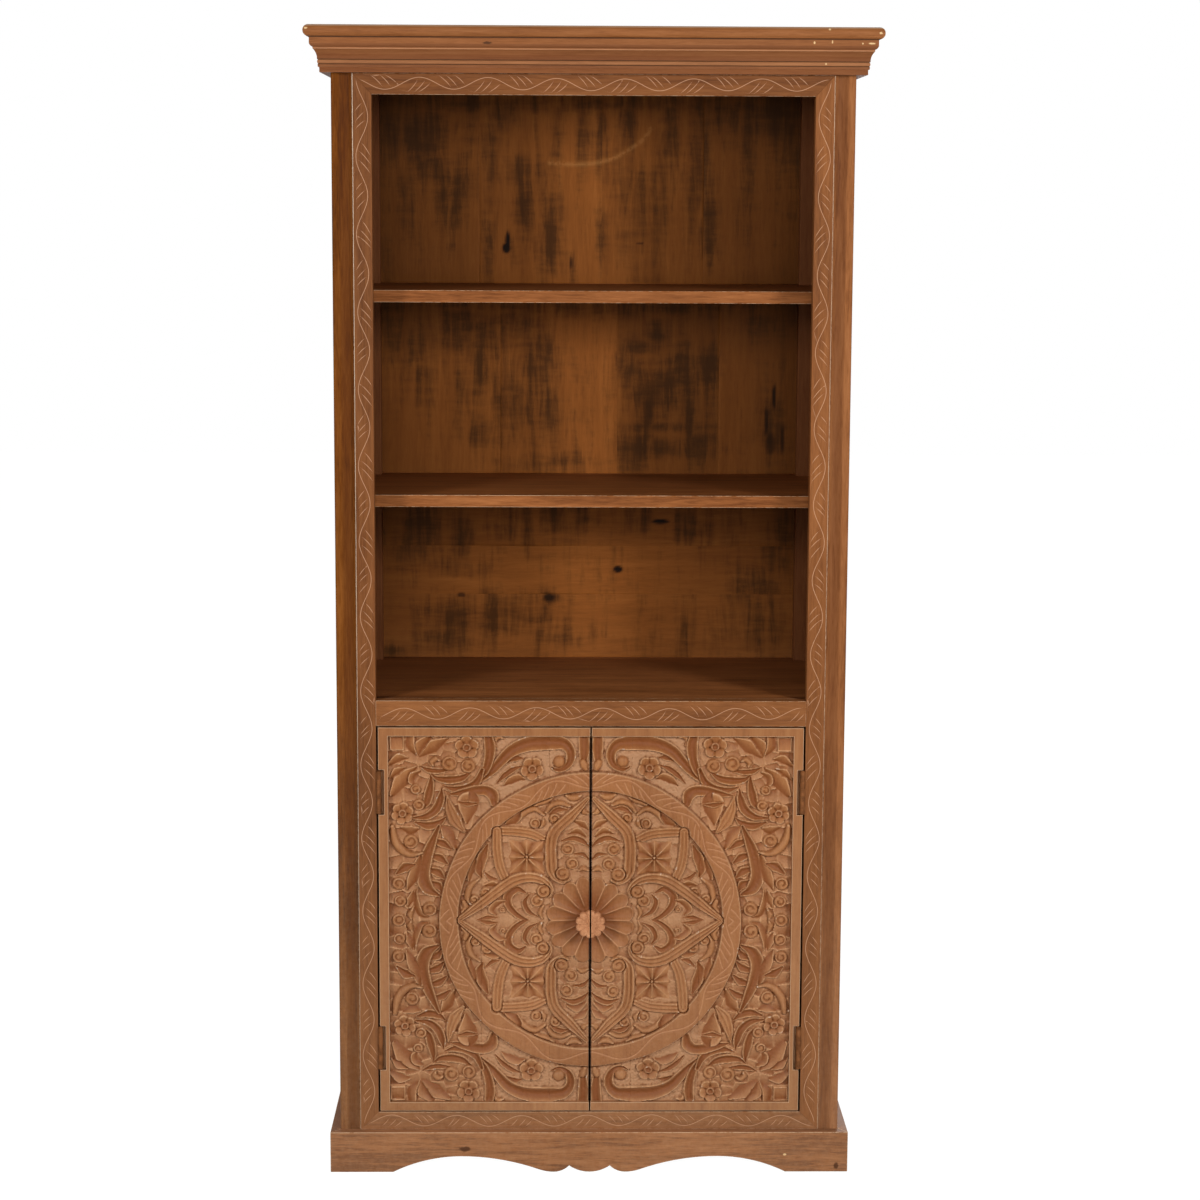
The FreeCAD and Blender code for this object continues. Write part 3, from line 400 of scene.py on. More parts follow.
def make_materials():
    case = shades((104, 58, 27), (137, 84, 45), (155, 100, 59))
    # Darker tones for the left front post: painted shade of the left side.
    post = shades((74, 36, 8), (106, 57, 14), (126, 74, 28))
    vine = shades((95, 52, 21), (123, 73, 35), (140, 87, 46))
    inner = shades((92, 48, 18), (134, 79, 39), (158, 98, 54))
    back = shades((92, 49, 17), (128, 74, 30), (150, 92, 42))
    carved = shades((130, 77, 36), (150, 95, 51), (162, 109, 64))
    knob = shades((140, 84, 48), (182, 122, 82), (202, 144, 104))
    wear = ("wear", PALE_WEAR, 0.5, "specks")
    # The case's wear, and a layer that darkens the post flutes as gathered finish and painted shade, and
    # the faces into the bays as painted shade.
    worn = (wear, ("recess", srgb(78, 40, 17), 0.8, "even"))
    groove = ("groove", srgb(214, 168, 132), 0.75, "even")
    rub = ("rub", srgb(240, 222, 200), 0.95, "even")
    knob_layers = (("crease", DARK_CREASE, 0.5, "even"), wear)
    carving = (
        ("ground", srgb(182, 140, 104), 0.72, "even"),
        # Darker hollows of the carving: gathered finish and painted shade.
        ("hollow", srgb(114, 58, 18), 0.8, "even"),
        # Paler rims of the carved forms: sanded wear and painted highlight.
        ("rim", srgb(200, 150, 108), 0.6, "even"),
        # Dark lines in the creases of the carving: gathered finish and painted shade.
        ("crease", srgb(58, 32, 16), 0.34, "even"),
        # Pale lines on the crests of the carving: wear and painted highlight.
        ("crest", srgb(224, 180, 138), 0.4, "even"),
        ("groove", PALE_LINE, 0.45, "even"),
        ("chip", srgb(232, 214, 194), 0.8, "even"),
        ("wear", PALE_WEAR, 0.4, "even"),
        # Painted shadow: the boards darken next to the gap between the doors.
        ("gap", srgb(30, 14, 9), 0.95, "even"),
    )
    stain_and_shadow_layers = (
        # Stains, and bands of painted shadow along the tops of the backs.
        ("stain", srgb(46, 28, 13), 0.8, "drips"),
        ("knot", srgb(26, 15, 8), 1.0, "even"),
        ("glaze", srgb(186, 128, 70), 0.35, "specks"),
        wear,
    )
    # Bands across the moulding: painted shade and painted highlight on the faces of its profile, and a
    # pale line along the top edge of the cap.
    cornice_light_and_shade_bands = (
        (1729.0, 1782.0, srgb(92, 48, 22), 0.14),
        (1797.4, 1800.2, PALE_WEAR, 0.35),
        (1780.8, 1782.8, DARK_CREASE, 0.75),
        (1766.4, 1772.4, srgb(104, 62, 40), 0.45),
        (1764.6, 1766.0, PALE_LINE, 0.35),
        (1757.0, 1764.4, srgb(96, 58, 34), 0.35),
        (1749.4, 1757.0, srgb(88, 44, 18), 0.5),
        (1748.4, 1749.8, DARK_CREASE, 0.75),
        (1743.0, 1748.4, PALE_LINE, 0.15),
        (1741.4, 1743.0, DARK_CREASE, 0.75),
        (1738.0, 1741.4, srgb(104, 62, 40), 0.3),
        (1729.0, 1738.0, srgb(96, 50, 24), 0.35),
    )
    cornice_marks = (
        (-161, 1774, 8, 2.6, DARK_CREASE),
        (418, 1776, 6, 1.6, PALE_CHIP),
        (404, 1776, 1.4, 1.6, PALE_CHIP),
        (331, 1777, 1.6, 2.6, PALE_CHIP),
        (358, 1778, 1.2, 2.8, PALE_CHIP),
        (430, 1791, 2.6, 2.0, PALE_CHIP),
        (-432, 1794, 3.0, 1.6, PALE_CHIP),
        (350, 1746, 1.6, 1.6, PALE_CHIP),
        (353, 1796, 2.0, 1.6, PALE_CHIP),
    )
    plinth_marks = (
        (-199, 38, 9, 5, SOFT_KNOT),
        (396, 10, 5, 6, SOFT_KNOT),
        (313, 29, 3, 1.8, PALE_CHIP),
    )
    cornice_look = {"layers": (wear,), "spread": 0.16, "light_and_shade_bands": cornice_light_and_shade_bands}
    back_look = {"layers": stain_and_shadow_layers, "shine": 0.04, "spread": 0.34}
    carved_look = {"figure": 0.6, "roughness": (0.44, 0.62), "grain_depth": 0.2}
    carved_look.update({"dust": 0.32, "shine": 0.22})
    hinge_look = {"roughness": 0.6, "metallic": 0.1, "shine": 0.12}
    steel_look = {"roughness": 0.3, "tarnish": 0.2}
    return {
        "plinth": wood("plinth_wood", case, "x", (wear,), spread=0.08, marks=plinth_marks),
        "cornice": wood("cornice_wood", case, "x", marks=cornice_marks, **cornice_look),
        "cornice_end": wood("cornice_end_wood", case, "y", **cornice_look),
        "case_y": wood("case_wood_deep", case, "y", worn, spread=0.1),
        "case_z": wood("case_wood_upright", case, "z", worn, spread=0.12, shine=0.07),
        "shaded_left_post": wood("shaded_left_post_wood", post, "z", worn, spread=0.12, dust=0.36, shine=0.04),
        "vine_x": wood("vine_wood_across", vine, "x", (groove, wear)),
        "vine_z": wood("vine_wood_upright", vine, "z", (groove, wear, rub), dust=0.14),
        "inner_x": wood("inner_wood", inner, "x", (wear,), shine=0.08),
        "back_x": wood("back_wood_across", back, "x", **back_look),
        "back_z": wood("back_wood_upright", back, "z", **back_look),
        "carved": wood("carved_wood", carved, "z", carving, **carved_look),
        "knob": wood("knob_wood", knob, "y", knob_layers),
        "hinge": metal("aged_hinge_metal", srgb(96, 57, 28), srgb(130, 81, 45), **hinge_look),
        "screw": metal("dull_screw_steel", srgb(92, 82, 72), srgb(150, 140, 128), roughness=0.42),
        "steel": metal("bright_catch_steel", srgb(150, 150, 152), srgb(190, 190, 190), **steel_look),
    }


# Studio pieces


def make_camera():
    flat = math.cos(CAMERA_PITCH)
    ahead, aside = math.cos(CAMERA_YAW), math.sin(CAMERA_YAW)
    forward = Vector((aside * flat, ahead * flat, -math.sin(CAMERA_PITCH)))
    level = Vector((ahead, -aside, 0.0))
    upright = level.cross(forward)
    right = level * math.cos(CAMERA_ROLL) + upright * math.sin(CAMERA_ROLL)
    up = upright * math.cos(CAMERA_ROLL) - level * math.sin(CAMERA_ROLL)
    data = bpy.data.cameras.new("camera")
    data.sensor_width = SENSOR_WIDTH
    data.lens = SENSOR_WIDTH * FOCAL_LENGTH_IN_PIXELS / PICTURE_PIXELS
    camera = show("camera", data)
    turn = Matrix((right, up, -forward)).transposed().to_4x4()
    camera.matrix_world = Matrix.Translation(CAMERA_PLACE) @ turn
    bpy.context.scene.camera = camera


def seen_directly(graph):
    """1 for the rays that show the surroundings: straight from the camera, mirrored or let through."""
    path = graph.node("ShaderNodeLightPath", output="Is Camera Ray")
    return path.greater(path.other("Is Glossy Ray")).greater(path.other("Is Transmission Ray"))


def make_studio():
    world = bpy.data.worlds.new("studio")
    world.use_nodes = True
    world.node_tree.nodes.clear()
    g = Graph(world.node_tree)
    strength = AMBIENT_STRENGTH + (1.0 - AMBIENT_STRENGTH) * seen_directly(g)
    white = (1.0, 1.0, 1.0, 1.0)
    light = g.node("ShaderNodeBackground", None, {"Color": white, "Strength": strength})
    g.node("ShaderNodeOutputWorld", None, {"Surface": light})
    bpy.context.scene.world = world
    bpy.context.scene.view_settings.view_transform = "Standard"

    material, g = new_material("pale_floor")
    diffuse = g.node("ShaderNodeBsdfDiffuse", None, {"Color": FLOOR_COLOUR})
    glow = g.node("ShaderNodeEmission", None, {"Color": white, "Strength": FLOOR_GLOW_STRENGTH})
    share = seen_directly(g) * FLOOR_GLOW_SHARE
    floor_shader = g.node("ShaderNodeMixShader", None, {0: share, 1: diffuse, 2: glow})
    g.node("ShaderNodeOutputMaterial", None, {"Surface": floor_shader})
    half = FLOOR_SIZE / 2
    mesh = bpy.data.meshes.new("floor")
    corners = [(-half, -half, 0.0), (half, -half, 0.0), (half, half, 0.0), (-half, half, 0.0)]
    mesh.from_pydata(corners, [], [(0, 1, 2, 3)])
    mesh.materials.append(material)
    floor = show("floor", mesh)

    for name, (place, aim, size, power) in LAMPS.items():
        data = bpy.data.lights.new(name, "AREA")
        data.shape = "RECTANGLE"
        data.size, data.size_y = size
        data.energy = power
        lamp = show(name, data)
        lamp.location = place
        pointing = Vector(aim) - Vector(place)
        lamp.rotation_euler = pointing.to_track_quat("-Z", "Y").to_euler()


# Turning meshes into pieces

WELD = 1e-6
FLAT_ANGLE = math.radians(0.6)
EDGE_ANGLE = math.radians(35.0)
CARVED_EDGE_ANGLE = math.radians(60.0)
PLAIN_SHARPNESS = 40.0
FLAT_FACE_WEIGHT = 80


def set_point_values(mesh, name, values):
    layer = mesh.attributes.get(name) or mesh.attributes.new(name, "FLOAT", "POINT")
    layer.data.foreach_set("value", np.asarray(values, dtype=np.float32))


def points_of(mesh):
    places = np.empty(len(mesh.vertices) * 3, dtype=np.float32)
    mesh.vertices.foreach_get("co", places)
    return places.reshape(-1, 3)


def even_normals(piece):
    """Let the wide flat faces rule the shading, so that only the rounded edges look round."""
    even = piece.modifiers.new("even", "WEIGHTED_NORMAL")
    even.keep_sharp = True
    even.weight = FLAT_FACE_WEIGHT
    settle(piece)


def settle(piece):
    """Apply the piece's modifiers to its mesh."""
    depsgraph = bpy.context.evaluated_depsgraph_get()
    shaped = piece.evaluated_get(depsgraph)
    options = {"preserve_all_data_layers": True, "depsgraph": depsgraph}
    mesh = bpy.data.meshes.new_from_object(shaped, **options)
    piece.modifiers.clear()
    piece.data = mesh


def show(name, data):
    piece = bpy.data.objects.new(name, data)
    bpy.context.scene.collection.objects.link(piece)
    return piece


def dress(piece, body, finish, nodes=(), board=0.0, tone=0.0):
    """Give a piece its material and its place in the bookcase."""
    mesh = piece.data
    mesh.materials.clear()
    mesh.materials.append(finishes[finish])
    mesh.vertices.foreach_set("co", np.clip(points_of(mesh), cad_box[0], cad_box[1]).ravel())
    for name, value in (("board", board), ("tone", tone)):
        set_point_values(mesh, name, np.full(len(mesh.vertices), value))
    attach(piece, body)
    if nodes:
        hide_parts(*nodes)


def soften(bm, edge, chosen=lambda e: True):
    """Round the outer edges a little and mark the rounding as the place that wears."""
    wear = bm.loops.layers.float.get("wear") or bm.loops.layers.float.new("wear")
    joined = [e for e in bm.edges if len(e.link_faces) == 2]
    sharp = [e for e in joined if e.calc_face_angle_signed(0.0) > EDGE_ANGLE and chosen(e)]
    options = {"offset_type": "OFFSET", "segments": 2, "profile": 0.5, "affect": "EDGES"}
    made = bmesh.ops.bevel(bm, geom=sharp, offset=edge * MM, clamp_overlap=True, **options)
    for face in made["faces"]:
        for loop in face.loops:
            loop[wear] = 1.0


def flatten(bm):
    """Join the faces that lie in one plane."""
    bmesh.ops.dissolve_limit(bm, angle_limit=FLAT_ANGLE, verts=bm.verts, edges=bm.edges)


def solid_copy(node):
    """The node's solid as a closed mesh with whole flat faces."""
    bm = bmesh.new()
    bm.from_mesh(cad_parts[node].data)
    bmesh.ops.remove_doubles(bm, verts=bm.verts, dist=WELD)
    flatten(bm)
    return bm


def to_mesh(bm, name, sharp=PLAIN_SHARPNESS):
    mesh = bpy.data.meshes.new(name)
    bm.to_mesh(mesh)
    bm.free()
    mesh.shade_smooth()
    mesh.set_sharp_from_angle(angle=math.radians(sharp))
    return mesh


def plain_piece(node, body, finish, edge, board=0.0, tone=0.0):
    """A node whose shape is right, with softened edges."""
    bm = solid_copy(node)
    soften(bm, edge)
    piece = show(f"{node}_finished", to_mesh(bm, node))
    even_normals(piece)
    dress(piece, body, finish, [node], board, tone)
    return piece


def block(low, high):
    """A block between two corners given in millimetres."""
    bm = bmesh.new()
    bmesh.ops.create_cube(bm, size=1.0)
    for vert in bm.verts:
        vert.co = [low[i] * MM if vert.co[i] < 0 else high[i] * MM for i in range(3)]
    bmesh.ops.recalc_face_normals(bm, faces=bm.faces)
    return bm


def relief_board(name, across, upward, fronts, back, values):
    """A board whose front is a grid of depths, closed at its sides and back. All in millimetres;
    the values are given on the grid."""
    rows, columns = fronts.shape
    grid_x, grid_z = np.meshgrid(across, upward)
    face = np.stack([grid_x, fronts, grid_z], axis=-1).reshape(-1, 3)
    index = np.arange(rows * columns).reshape(rows, columns)
    rim = np.concatenate([index[0, :], index[1:, -1], index[-1, -2::-1], index[-2:0:-1, 0]])
    rear = face[rim].copy()
    rear[:, 1] = back
    rear_index = np.arange(len(rim)) + rows * columns
    quads = np.stack([index[:-1, :-1], index[:-1, 1:], index[1:, 1:], index[1:, :-1]], axis=-1)
    after, rear_after = np.roll(rim, -1), np.roll(rear_index, -1)
    walls = np.stack([rim, rear_index, rear_after, after], axis=-1)
    faces = quads.reshape(-1, 4).tolist() + walls.tolist() + [rear_index[::-1].tolist()]
    mesh = bpy.data.meshes.new(name)
    mesh.from_pydata((np.concatenate([face, rear]) * MM).tolist(), [], faces)
    mesh.shade_smooth()
    mesh.set_sharp_from_angle(angle=CARVED_EDGE_ANGLE)
    for key, grid in values.items():
        set_point_values(mesh, key, np.concatenate([grid.ravel(), np.zeros(len(rim))]))
    return show(name, mesh)


# Carving of the doors. Heights are in millimetres over the sunk floor of the field; places are
# across and upward from the middle of the pair of doors, for one quarter of the pattern.

GRID_STEP = 1.0
BOARD_SEAMS = (65.0, 173.0)
RELIEF_BASE = -179.0
RELIEF_GAIN = 1.5
GROUND_HEIGHT = 2.3
LOW_HEIGHT = 1.7
MOAT_HEIGHT = 1.35
MOAT_WIDTH = 2.0
OUTLINE_WIDTH = 0.9
TOOL_MARKS = 0.8
WOBBLE = 1.1
CALM_WIDTH = 34.0
RING_MIDDLE = 224.75
RING_HALF_WIDTH = 15.25
RING_HEIGHT = 7.8
RING_WAVES = 12
ROSETTE_RADIUS = 71.0
ROSETTE_PETALS = 16
TILE_CENTRE = (100.0, 101.5)
TILE_HALF_WIDTH = 26.0
FACET_SPACING = 21.0
FACET_LOW = 1.2
FACET_RISE = 2.7
FACET_RIDGE = 0.6
FLAT_SHARE = 0.54
RING_SHARE = 0.49
ROUND_PALENESS = 0.8
OUTER_FULLNESS = 1.28
INNER_FULLNESS = 1.25
GAP_SHADE = 1.8
GAP_SHADE_FULL = 0.4
FULL_TURN = 2 * math.pi
FORM_MARGIN = 5.0
LINE_MARGIN = 4.0
LINE_STEPS = 8

# The carver's hand: lengths of the waves in which the pattern wanders, and their turn

WOBBLE_X = (37.0, 53.0, 2.3)
WOBBLE_Z = (41.0, 59.0, 1.7)
LOWER_HAND = 1.3
SEEDS_PER_HAND = 10

# Balls and beads

BALL_TOP = 6.2
BALL_PALENESS = 0.8
BALL_FACE_SHARE = 0.85
BALL_DISH_SHARE = 0.1
BALL_EDGE_SHARE = 0.5
BALL_EDGE_CURVE = 8
BEAD_ROUNDNESS = 0.85
CURL_TURN_X = 0.083
CURL_TURN_Z = 0.051
CURL_END_SHARE = 0.12
CURL_START_SHARE = 0.3
CURL_GROWTH_SHARE = 0.45
CURL_WIDTH_SHARE = 0.14
CURL_DEPTH_SHARE = 0.5

# Flowers

FLOWER_FLOOR = 3.2
FLOWER_RISE = 3.4
FLOWER_CURVE = 1.6
FLOWER_NOTCH_SHARE = 0.2
FLOWER_CUT = 2.4
FLOWER_CUT_WIDTH = 1.5
FLOWER_PALENESS = (0.15, 0.75)
BOSS_TOP = 6.4
BOSS_EDGE_SHARES = (0.4, 0.3)
BOSS_HOLE = 4.2
BOSS_HOLE_SHARES = (0.24, 0.12)

# Tiles

TILE_RISE = 3.6
TILE_MIDDLE_SHARE = 0.45
TILE_TILT_SHARE = 0.3
TILE_BORDER = (2.4, 0.6)
STAR_RAYS = 8
STAR_SCALLOP = 1.6
STAR_FLOOR = 2.2
STAR_RISE = 4.0
STAR_CURVE = 1.4
STAR_FADE = (36.0, 10.0)
STAR_EYE = 1.0
STAR_EYE_EDGE = (5.0, 3.4)
STAR_PIN = 4.6
STAR_PIN_EDGE = (2.6, 1.2)
STAR_PALENESS = (0.1, 0.8)

# Facets of the ground

FACET_SEED = 11
FACET_SHIFT_SHARE = 0.32
FACET_LEAN = 0.7
FACET_RUN_SHARE = 1.3
FACET_CURVE = 1.3
FACET_RIDGE_WIDTH = 2.4
FACET_FADE = 8.0
FACET_START = (150.0, 200.0)
FACET_INNER_SHARE = 0.55
FACET_PALENESS = (0.15, 0.65, 0.3)
FACET_BARE_SHARE = 0.65

# Ring and rosette

RING_CROWN = 0.5
RING_CROWN_CURVE = 4
PETAL_NOTCH_SHARE = 0.11
PETAL_FLOOR = 1.7
PETAL_RISE = 2.6
PETAL_RISE_CURVE = 3
PETAL_RIDGE = 3.1
PETAL_RIDGE_CURVE = 2.4
PETAL_RIDGE_SHARES = (0.1, 0.6)
PETAL_TOP = 6.4
PETAL_SHADE = (14.0, 62.0)
PETAL_PALENESS = (0.8, 0.3, 0.12)
PETAL_LINE_WIDTH = 0.8
PETAL_LINE_START = (22.0, 30.0)
PETAL_LINE_SHARES = (1.0, 0.94)
KNOB_SEAT_EDGE = (18.0, 15.5)
RING_LINE_WIDTH = 0.75
RING_LINE_DEPTH = 0.8

# Sections of the leaves

ROUND_FALL_SHARE = 0.8
SCOOP_CURVE = 1.8
BLADE_CURVE = 1.3
DOUBLE_TOP_SHARE = 0.78
DOUBLE_FALL_SHARE = 0.12
DOUBLE_CUT_SHARE = 0.3
DOUBLE_CUT_PLACE_SHARE = 0.38
DOUBLE_CUT_WIDTH_SHARE = 0.16


def doubled(a):
    """A flat band with a cut along either side of its middle."""
    cut = np.exp(-(((np.abs(a) - DOUBLE_CUT_PLACE_SHARE) / DOUBLE_CUT_WIDTH_SHARE) ** 2))
    return DOUBLE_TOP_SHARE - DOUBLE_CUT_SHARE * cut - DOUBLE_FALL_SHARE * a * a


# How high a leaf stands from one edge, at -1, to the other, at 1
SECTIONS = {
    "round": lambda a: np.sqrt(1.0 - ROUND_FALL_SHARE * a * a),
    "scoop": lambda a: np.abs(a) ** SCOOP_CURVE,
    "blade": lambda a: (0.5 + 0.5 * a) ** BLADE_CURVE,
    "double": doubled,
}

# Each leaf: section, height, half widths along it, places along its middle
OUTER_LEAVES = (
    ("scoop", 6.2, (7, 7, 5), ((11, 298), (10, 277), (11, 259))),
    ("round", 5.6, (4, 5, 3), ((12, 255), (10, 250), (8, 245))),
    ("blade", 5.6, (1, 5, 5, 1), ((104, 229), (115, 232), (128, 227), (139, 219))),
    ("scoop", 5.8, (1, 4, 4, 1), ((110, 250), (124, 245), (138, 235), (150, 222))),
    ("scoop", 5.8, (1, 5, 2), ((108, 262), (120, 263), (134, 257))),
    (
        "scoop",
        7.2,
        (1, 2.5, 3.5, 5, 6, 6.5, 8, 9.5, 10, 9.5, 8.5, 7.5, 6.5, 5.5, 4.5, 3),
        (
            (62, 248), (54, 243.5), (44, 244.5), (35, 252), (31, 263), (33, 275), (43, 285),
            (60, 287), (80, 287), (100, 285), (118, 279), (132, 270), (144, 257), (156, 244),
            (172, 231), (188, 222),
        ),
    ),
    ("round", 6.4, (1, 3, 3, 1), ((137, 294), (146, 296), (152, 290), (149, 281))),
    ("scoop", 6.8, (6, 7, 6, 5, 3), ((161, 295), (159, 280), (161, 262), (167, 244), (177, 229))),
    ("blade", 6.0, (2, 9, 3), ((226, 294), (248, 282), (268, 267))),
    ("blade", 6.0, (3, 7, 2), ((254, 297), (268, 284), (272, 268))),
    ("blade", 6.2, (2, 6, 5), ((276, 270), (284, 282), (284, 297))),
    ("blade", 6.0, (2, 6, 3), ((290, 262), (303, 262), (317, 252))),
    ("blade", 6.0, (2, 11, 4), ((276, 246), (296, 228), (312, 204))),
    ("blade", 5.6, (1, 5, 1), ((292, 246), (306, 240), (317, 228))),
    ("scoop", 6.6, (1, 5, 6, 2), ((229, 166), (240, 157), (257, 153), (276, 158))),
    ("scoop", 6.8, (0.8, 5, 6, 5, 2), ((234, 214), (236, 198), (243, 180), (258, 168), (278, 165))),
    ("scoop", 6.8, (0.8, 4, 6, 5, 2), ((251, 236), (251, 222), (254, 205), (258, 190), (264, 181))),
    ("scoop", 6.8, (3, 5, 6, 5, 0.8), ((172, 244), (180, 226), (194, 215), (214, 212), (233, 217))),
    ("scoop", 6.8, (2, 5, 6, 4, 0.8), ((190, 240), (203, 231), (222, 227.5), (240, 229), (251, 236))),
    ("scoop", 6.8, (2, 4, 4, 0.8), ((225, 243), (240, 241.5), (255, 243), (269, 249))),
    ("round", 6.0, (1, 3.5, 3.5, 1), ((236, 258), (243, 261), (249, 256), (247, 249))),
    ("blade", 6.2, (2, 4, 4, 1), ((270, 240), (280, 234), (282, 224), (276, 217))),
    # lower right side
    ("blade", 6.0, (2, 8, 2), ((236, 150), (226, 136), (215, 116))),
    ("scoop", 6.0, (4, 5.5, 2), ((248, 128), (234, 124), (222, 115))),
    ("scoop", 6.0, (4, 6, 2), ((252, 105), (239, 101), (228, 92))),
    ("scoop", 6.0, (4, 6, 2), ((254, 82), (242, 78), (233, 69))),
    ("scoop", 6.0, (4, 6, 2), ((252, 61), (242, 57), (236, 48))),
    (
        "scoop",
        7.0,
        (2, 6, 8, 9, 8, 2),
        ((240, 152), (253, 122), (262, 97), (266, 73), (258, 52), (240, 41)),
    ),
    ("blade", 6.2, (2, 6, 6, 1), ((271, 104), (278, 84), (284, 66), (291, 50))),
    ("scoop", 6.4, (2, 7, 2), ((279, 91), (293, 87), (307, 76))),
    ("round", 6.6, (3, 5, 5, 3.5, 1), ((312, 152), (308, 130), (297, 114), (282, 107), (266, 110))),
    ("blade", 6.0, (2, 6, 2), ((272, 148), (283, 146), (297, 150))),
    ("blade", 6.2, (1, 4, 4, 1), ((258, 5), (269, 10), (276, 27), (277, 48))),
    ("blade", 5.6, (1, 5, 1), ((282, 48), (286, 34), (290, 22))),
    ("round", 5.4, (1, 4, 1), ((282, 20), (286, 9), (284, 1))),
    # tulip on the diagonal
    (
        "scoop",
        6.4,
        (5, 8, 7, 7, 5, 1),
        ((153, 190), (156, 204), (167, 211), (184, 210), (205, 206), (224, 203)),
    ),
    ("double", 7.2, (1, 6, 8, 2), ((226, 201), (222, 180), (214, 160), (201, 143))),
    ("blade", 5.4, (13, 11, 2), ((194, 191), (195, 178), (197, 157))),
    ("scoop", 5.8, (1, 4, 1), ((178, 189), (195, 188), (211, 191))),
)
OUTER_CUPS = (
    (193, 250, 11), (222, 254, 12), (270, 186, 9), (275, 211, 8), (283.5, 128, 11),
    (304, 60, 10), (302, 31, 9.5), (304, 0, 10.5), (255, 18, 11.5),
)
OUTER_BEADS = ((50, 256, 9.5),)
# Each flower: centre, radius, number of petals, turn
FLOWERS = (
    ((93, 246), 19, 5, 0.3),
    ((194.5, 281), 19, 5, 0.9),
    ((296, 173), 18, 6, 0.2),
)
CORNER_TILES = ((306, 286, 11.5),)

INNER_LEAVES = (
    # between the squares and the ring
    ("round", 5.6, (1, 4, 4, 1.5), ((14, 203), (22, 199), (30, 199), (38, 203))),
    ("round", 5.8, (2, 3.5, 3.5, 2), ((33, 186), (47, 191), (61, 187), (71, 174))),
    ("scoop", 5.2, (1, 4, 4, 1), ((36, 180), (47, 181), (56, 178), (64, 172))),
    ("round", 5.4, (1, 3, 3, 1), ((58, 200), (70, 193), (82, 190), (95, 182))),
    ("round", 5.8, (2, 3.5, 4, 2), ((73, 172), (88, 181), (105, 174), (117, 158))),
    ("round", 5.6, (1, 3.5, 1), ((74, 166), (74, 158), (79, 150))),
    ("blade", 5.4, (6, 7, 2), ((118, 171), (124, 163), (133, 156))),
    ("scoop", 5.6, (2, 7, 7, 2), ((163, 121), (170, 103), (176, 84), (172, 70))),
    ("blade", 5.4, (2, 5, 2), ((184, 96), (190, 80), (192, 66))),
    ("round", 5.8, (1.5, 4, 4, 1.5), ((176, 67), (190, 55), (194, 37), (187, 24))),
    ("scoop", 5.4, (1, 4, 2), ((146, 66), (157, 68), (166, 76))),
    ("blade", 5.4, (1, 4, 1), ((139, 55), (154, 59), (169, 56))),
    ("round", 5.2, (3, 4, 2), ((200, 30), (197, 21), (203, 13))),
    # inside the arches at the sides
    ("scoop", 6.0, (2, 5, 6, 5, 4, 2), ((103, 44), (116, 50), (130, 39), (128, 22), (114, 7), (95, -3))),
    ("scoop", 5.8, (1, 4, 4, 1), ((97, 41), (104, 29), (98, 14), (83, 5))),
    ("blade", 5.4, (1, 4, 4, 1), ((135, 31), (147, 28), (157, 17), (150, 8))),
    ("scoop", 5.2, (0.8, 4, 0.8), ((147, 4), (163, 4), (182, -1))),
    ("round", 5.2, (2, 3, 1), ((76, 22), (80, 12), (76, 2))),
    # inside the arches above and below
    ("scoop", 5.8, (1, 4.5, 4.5, 1.5), ((2, 119), (13, 129), (28, 134), (46, 129))),
    ("scoop", 5.6, (1, 4, 1.5), ((2, 98), (12, 107), (26, 108))),
    ("blade", 5.4, (1, 5, 2), ((3, 147), (12, 156), (25, 162))),
    ("blade", 5.4, (2, 4.5, 1), ((8, 137), (21, 146), (36, 141))),
    ("round", 5.2, (1, 4, 1), ((2, 172), (10, 176), (16, 186))),
    ("round", 5.0, (1, 4, 1), ((2, 80), (12, 84), (20, 80))),
)
INNER_BEADS = (
    (56, 166, 8.5), (87, 158, 8.5), (36.5, 116, 10), (29.5, 92, 10), (85, 31, 10), (139, 17, 5),
    (165, 45, 9), (183, 34, 7.5),
)
SQUARE_ARMS = (
    ("double", 7.0, (7, 8, 8, 7.5), ((71, 130), (92, 140), (115, 143.5), (142, 144.5))),
    ("double", 7.0, (7.5, 8, 8, 7), ((148.5, 144), (147.5, 115), (143, 88), (134.5, 68))),
)
RIBS = (
    (
        "double",
        8.3,
        (4, 8.5, 9, 9, 9, 8, 6, 4, 1.5),
        ((5, 197), (32, 169), (55, 146), (62, 123), (62, 90), (60, 76), (52, 66), (42, 62), (33, 66)),
    ),
    (
        "double",
        8.3,
        (4, 8, 9, 9, 8.5, 7.5, 6, 4, 1.5),
        ((207, 2), (174, 26), (142, 50), (120, 64), (99, 69), (80, 66), (68, 57), (63, 47), (66, 37)),
    ),
)
RIB_BALLS = ((45, 75, 11), (75, 46, 10.5))


def smooth(low, high, value):
    share = np.clip((value - low) / (high - low), 0.0, 1.0)
    return share * share * (3.0 - 2.0 * share)


def smooth_line(points):
    """A smooth line through the points, with the point number reached at each place on it."""
    points = np.asarray(points, dtype=float)
    padded = np.vstack([2 * points[0] - points[1], points, 2 * points[-1] - points[-2]])
    line, stations = [], []
    for number in range(len(points) - 1):
        a, b, c, d = padded[number : number + 4]
        for share in np.arange(LINE_STEPS) / LINE_STEPS:
            bend = (2 * a - 5 * b + 4 * c - d) * share**2 + (3 * b - a - 3 * c + d) * share**3
            line.append(0.5 * (2 * b + (c - a) * share + bend))
            stations.append(number + share)
    line.append(points[-1])
    stations.append(len(points) - 1)
    return np.array(line), np.array(stations)


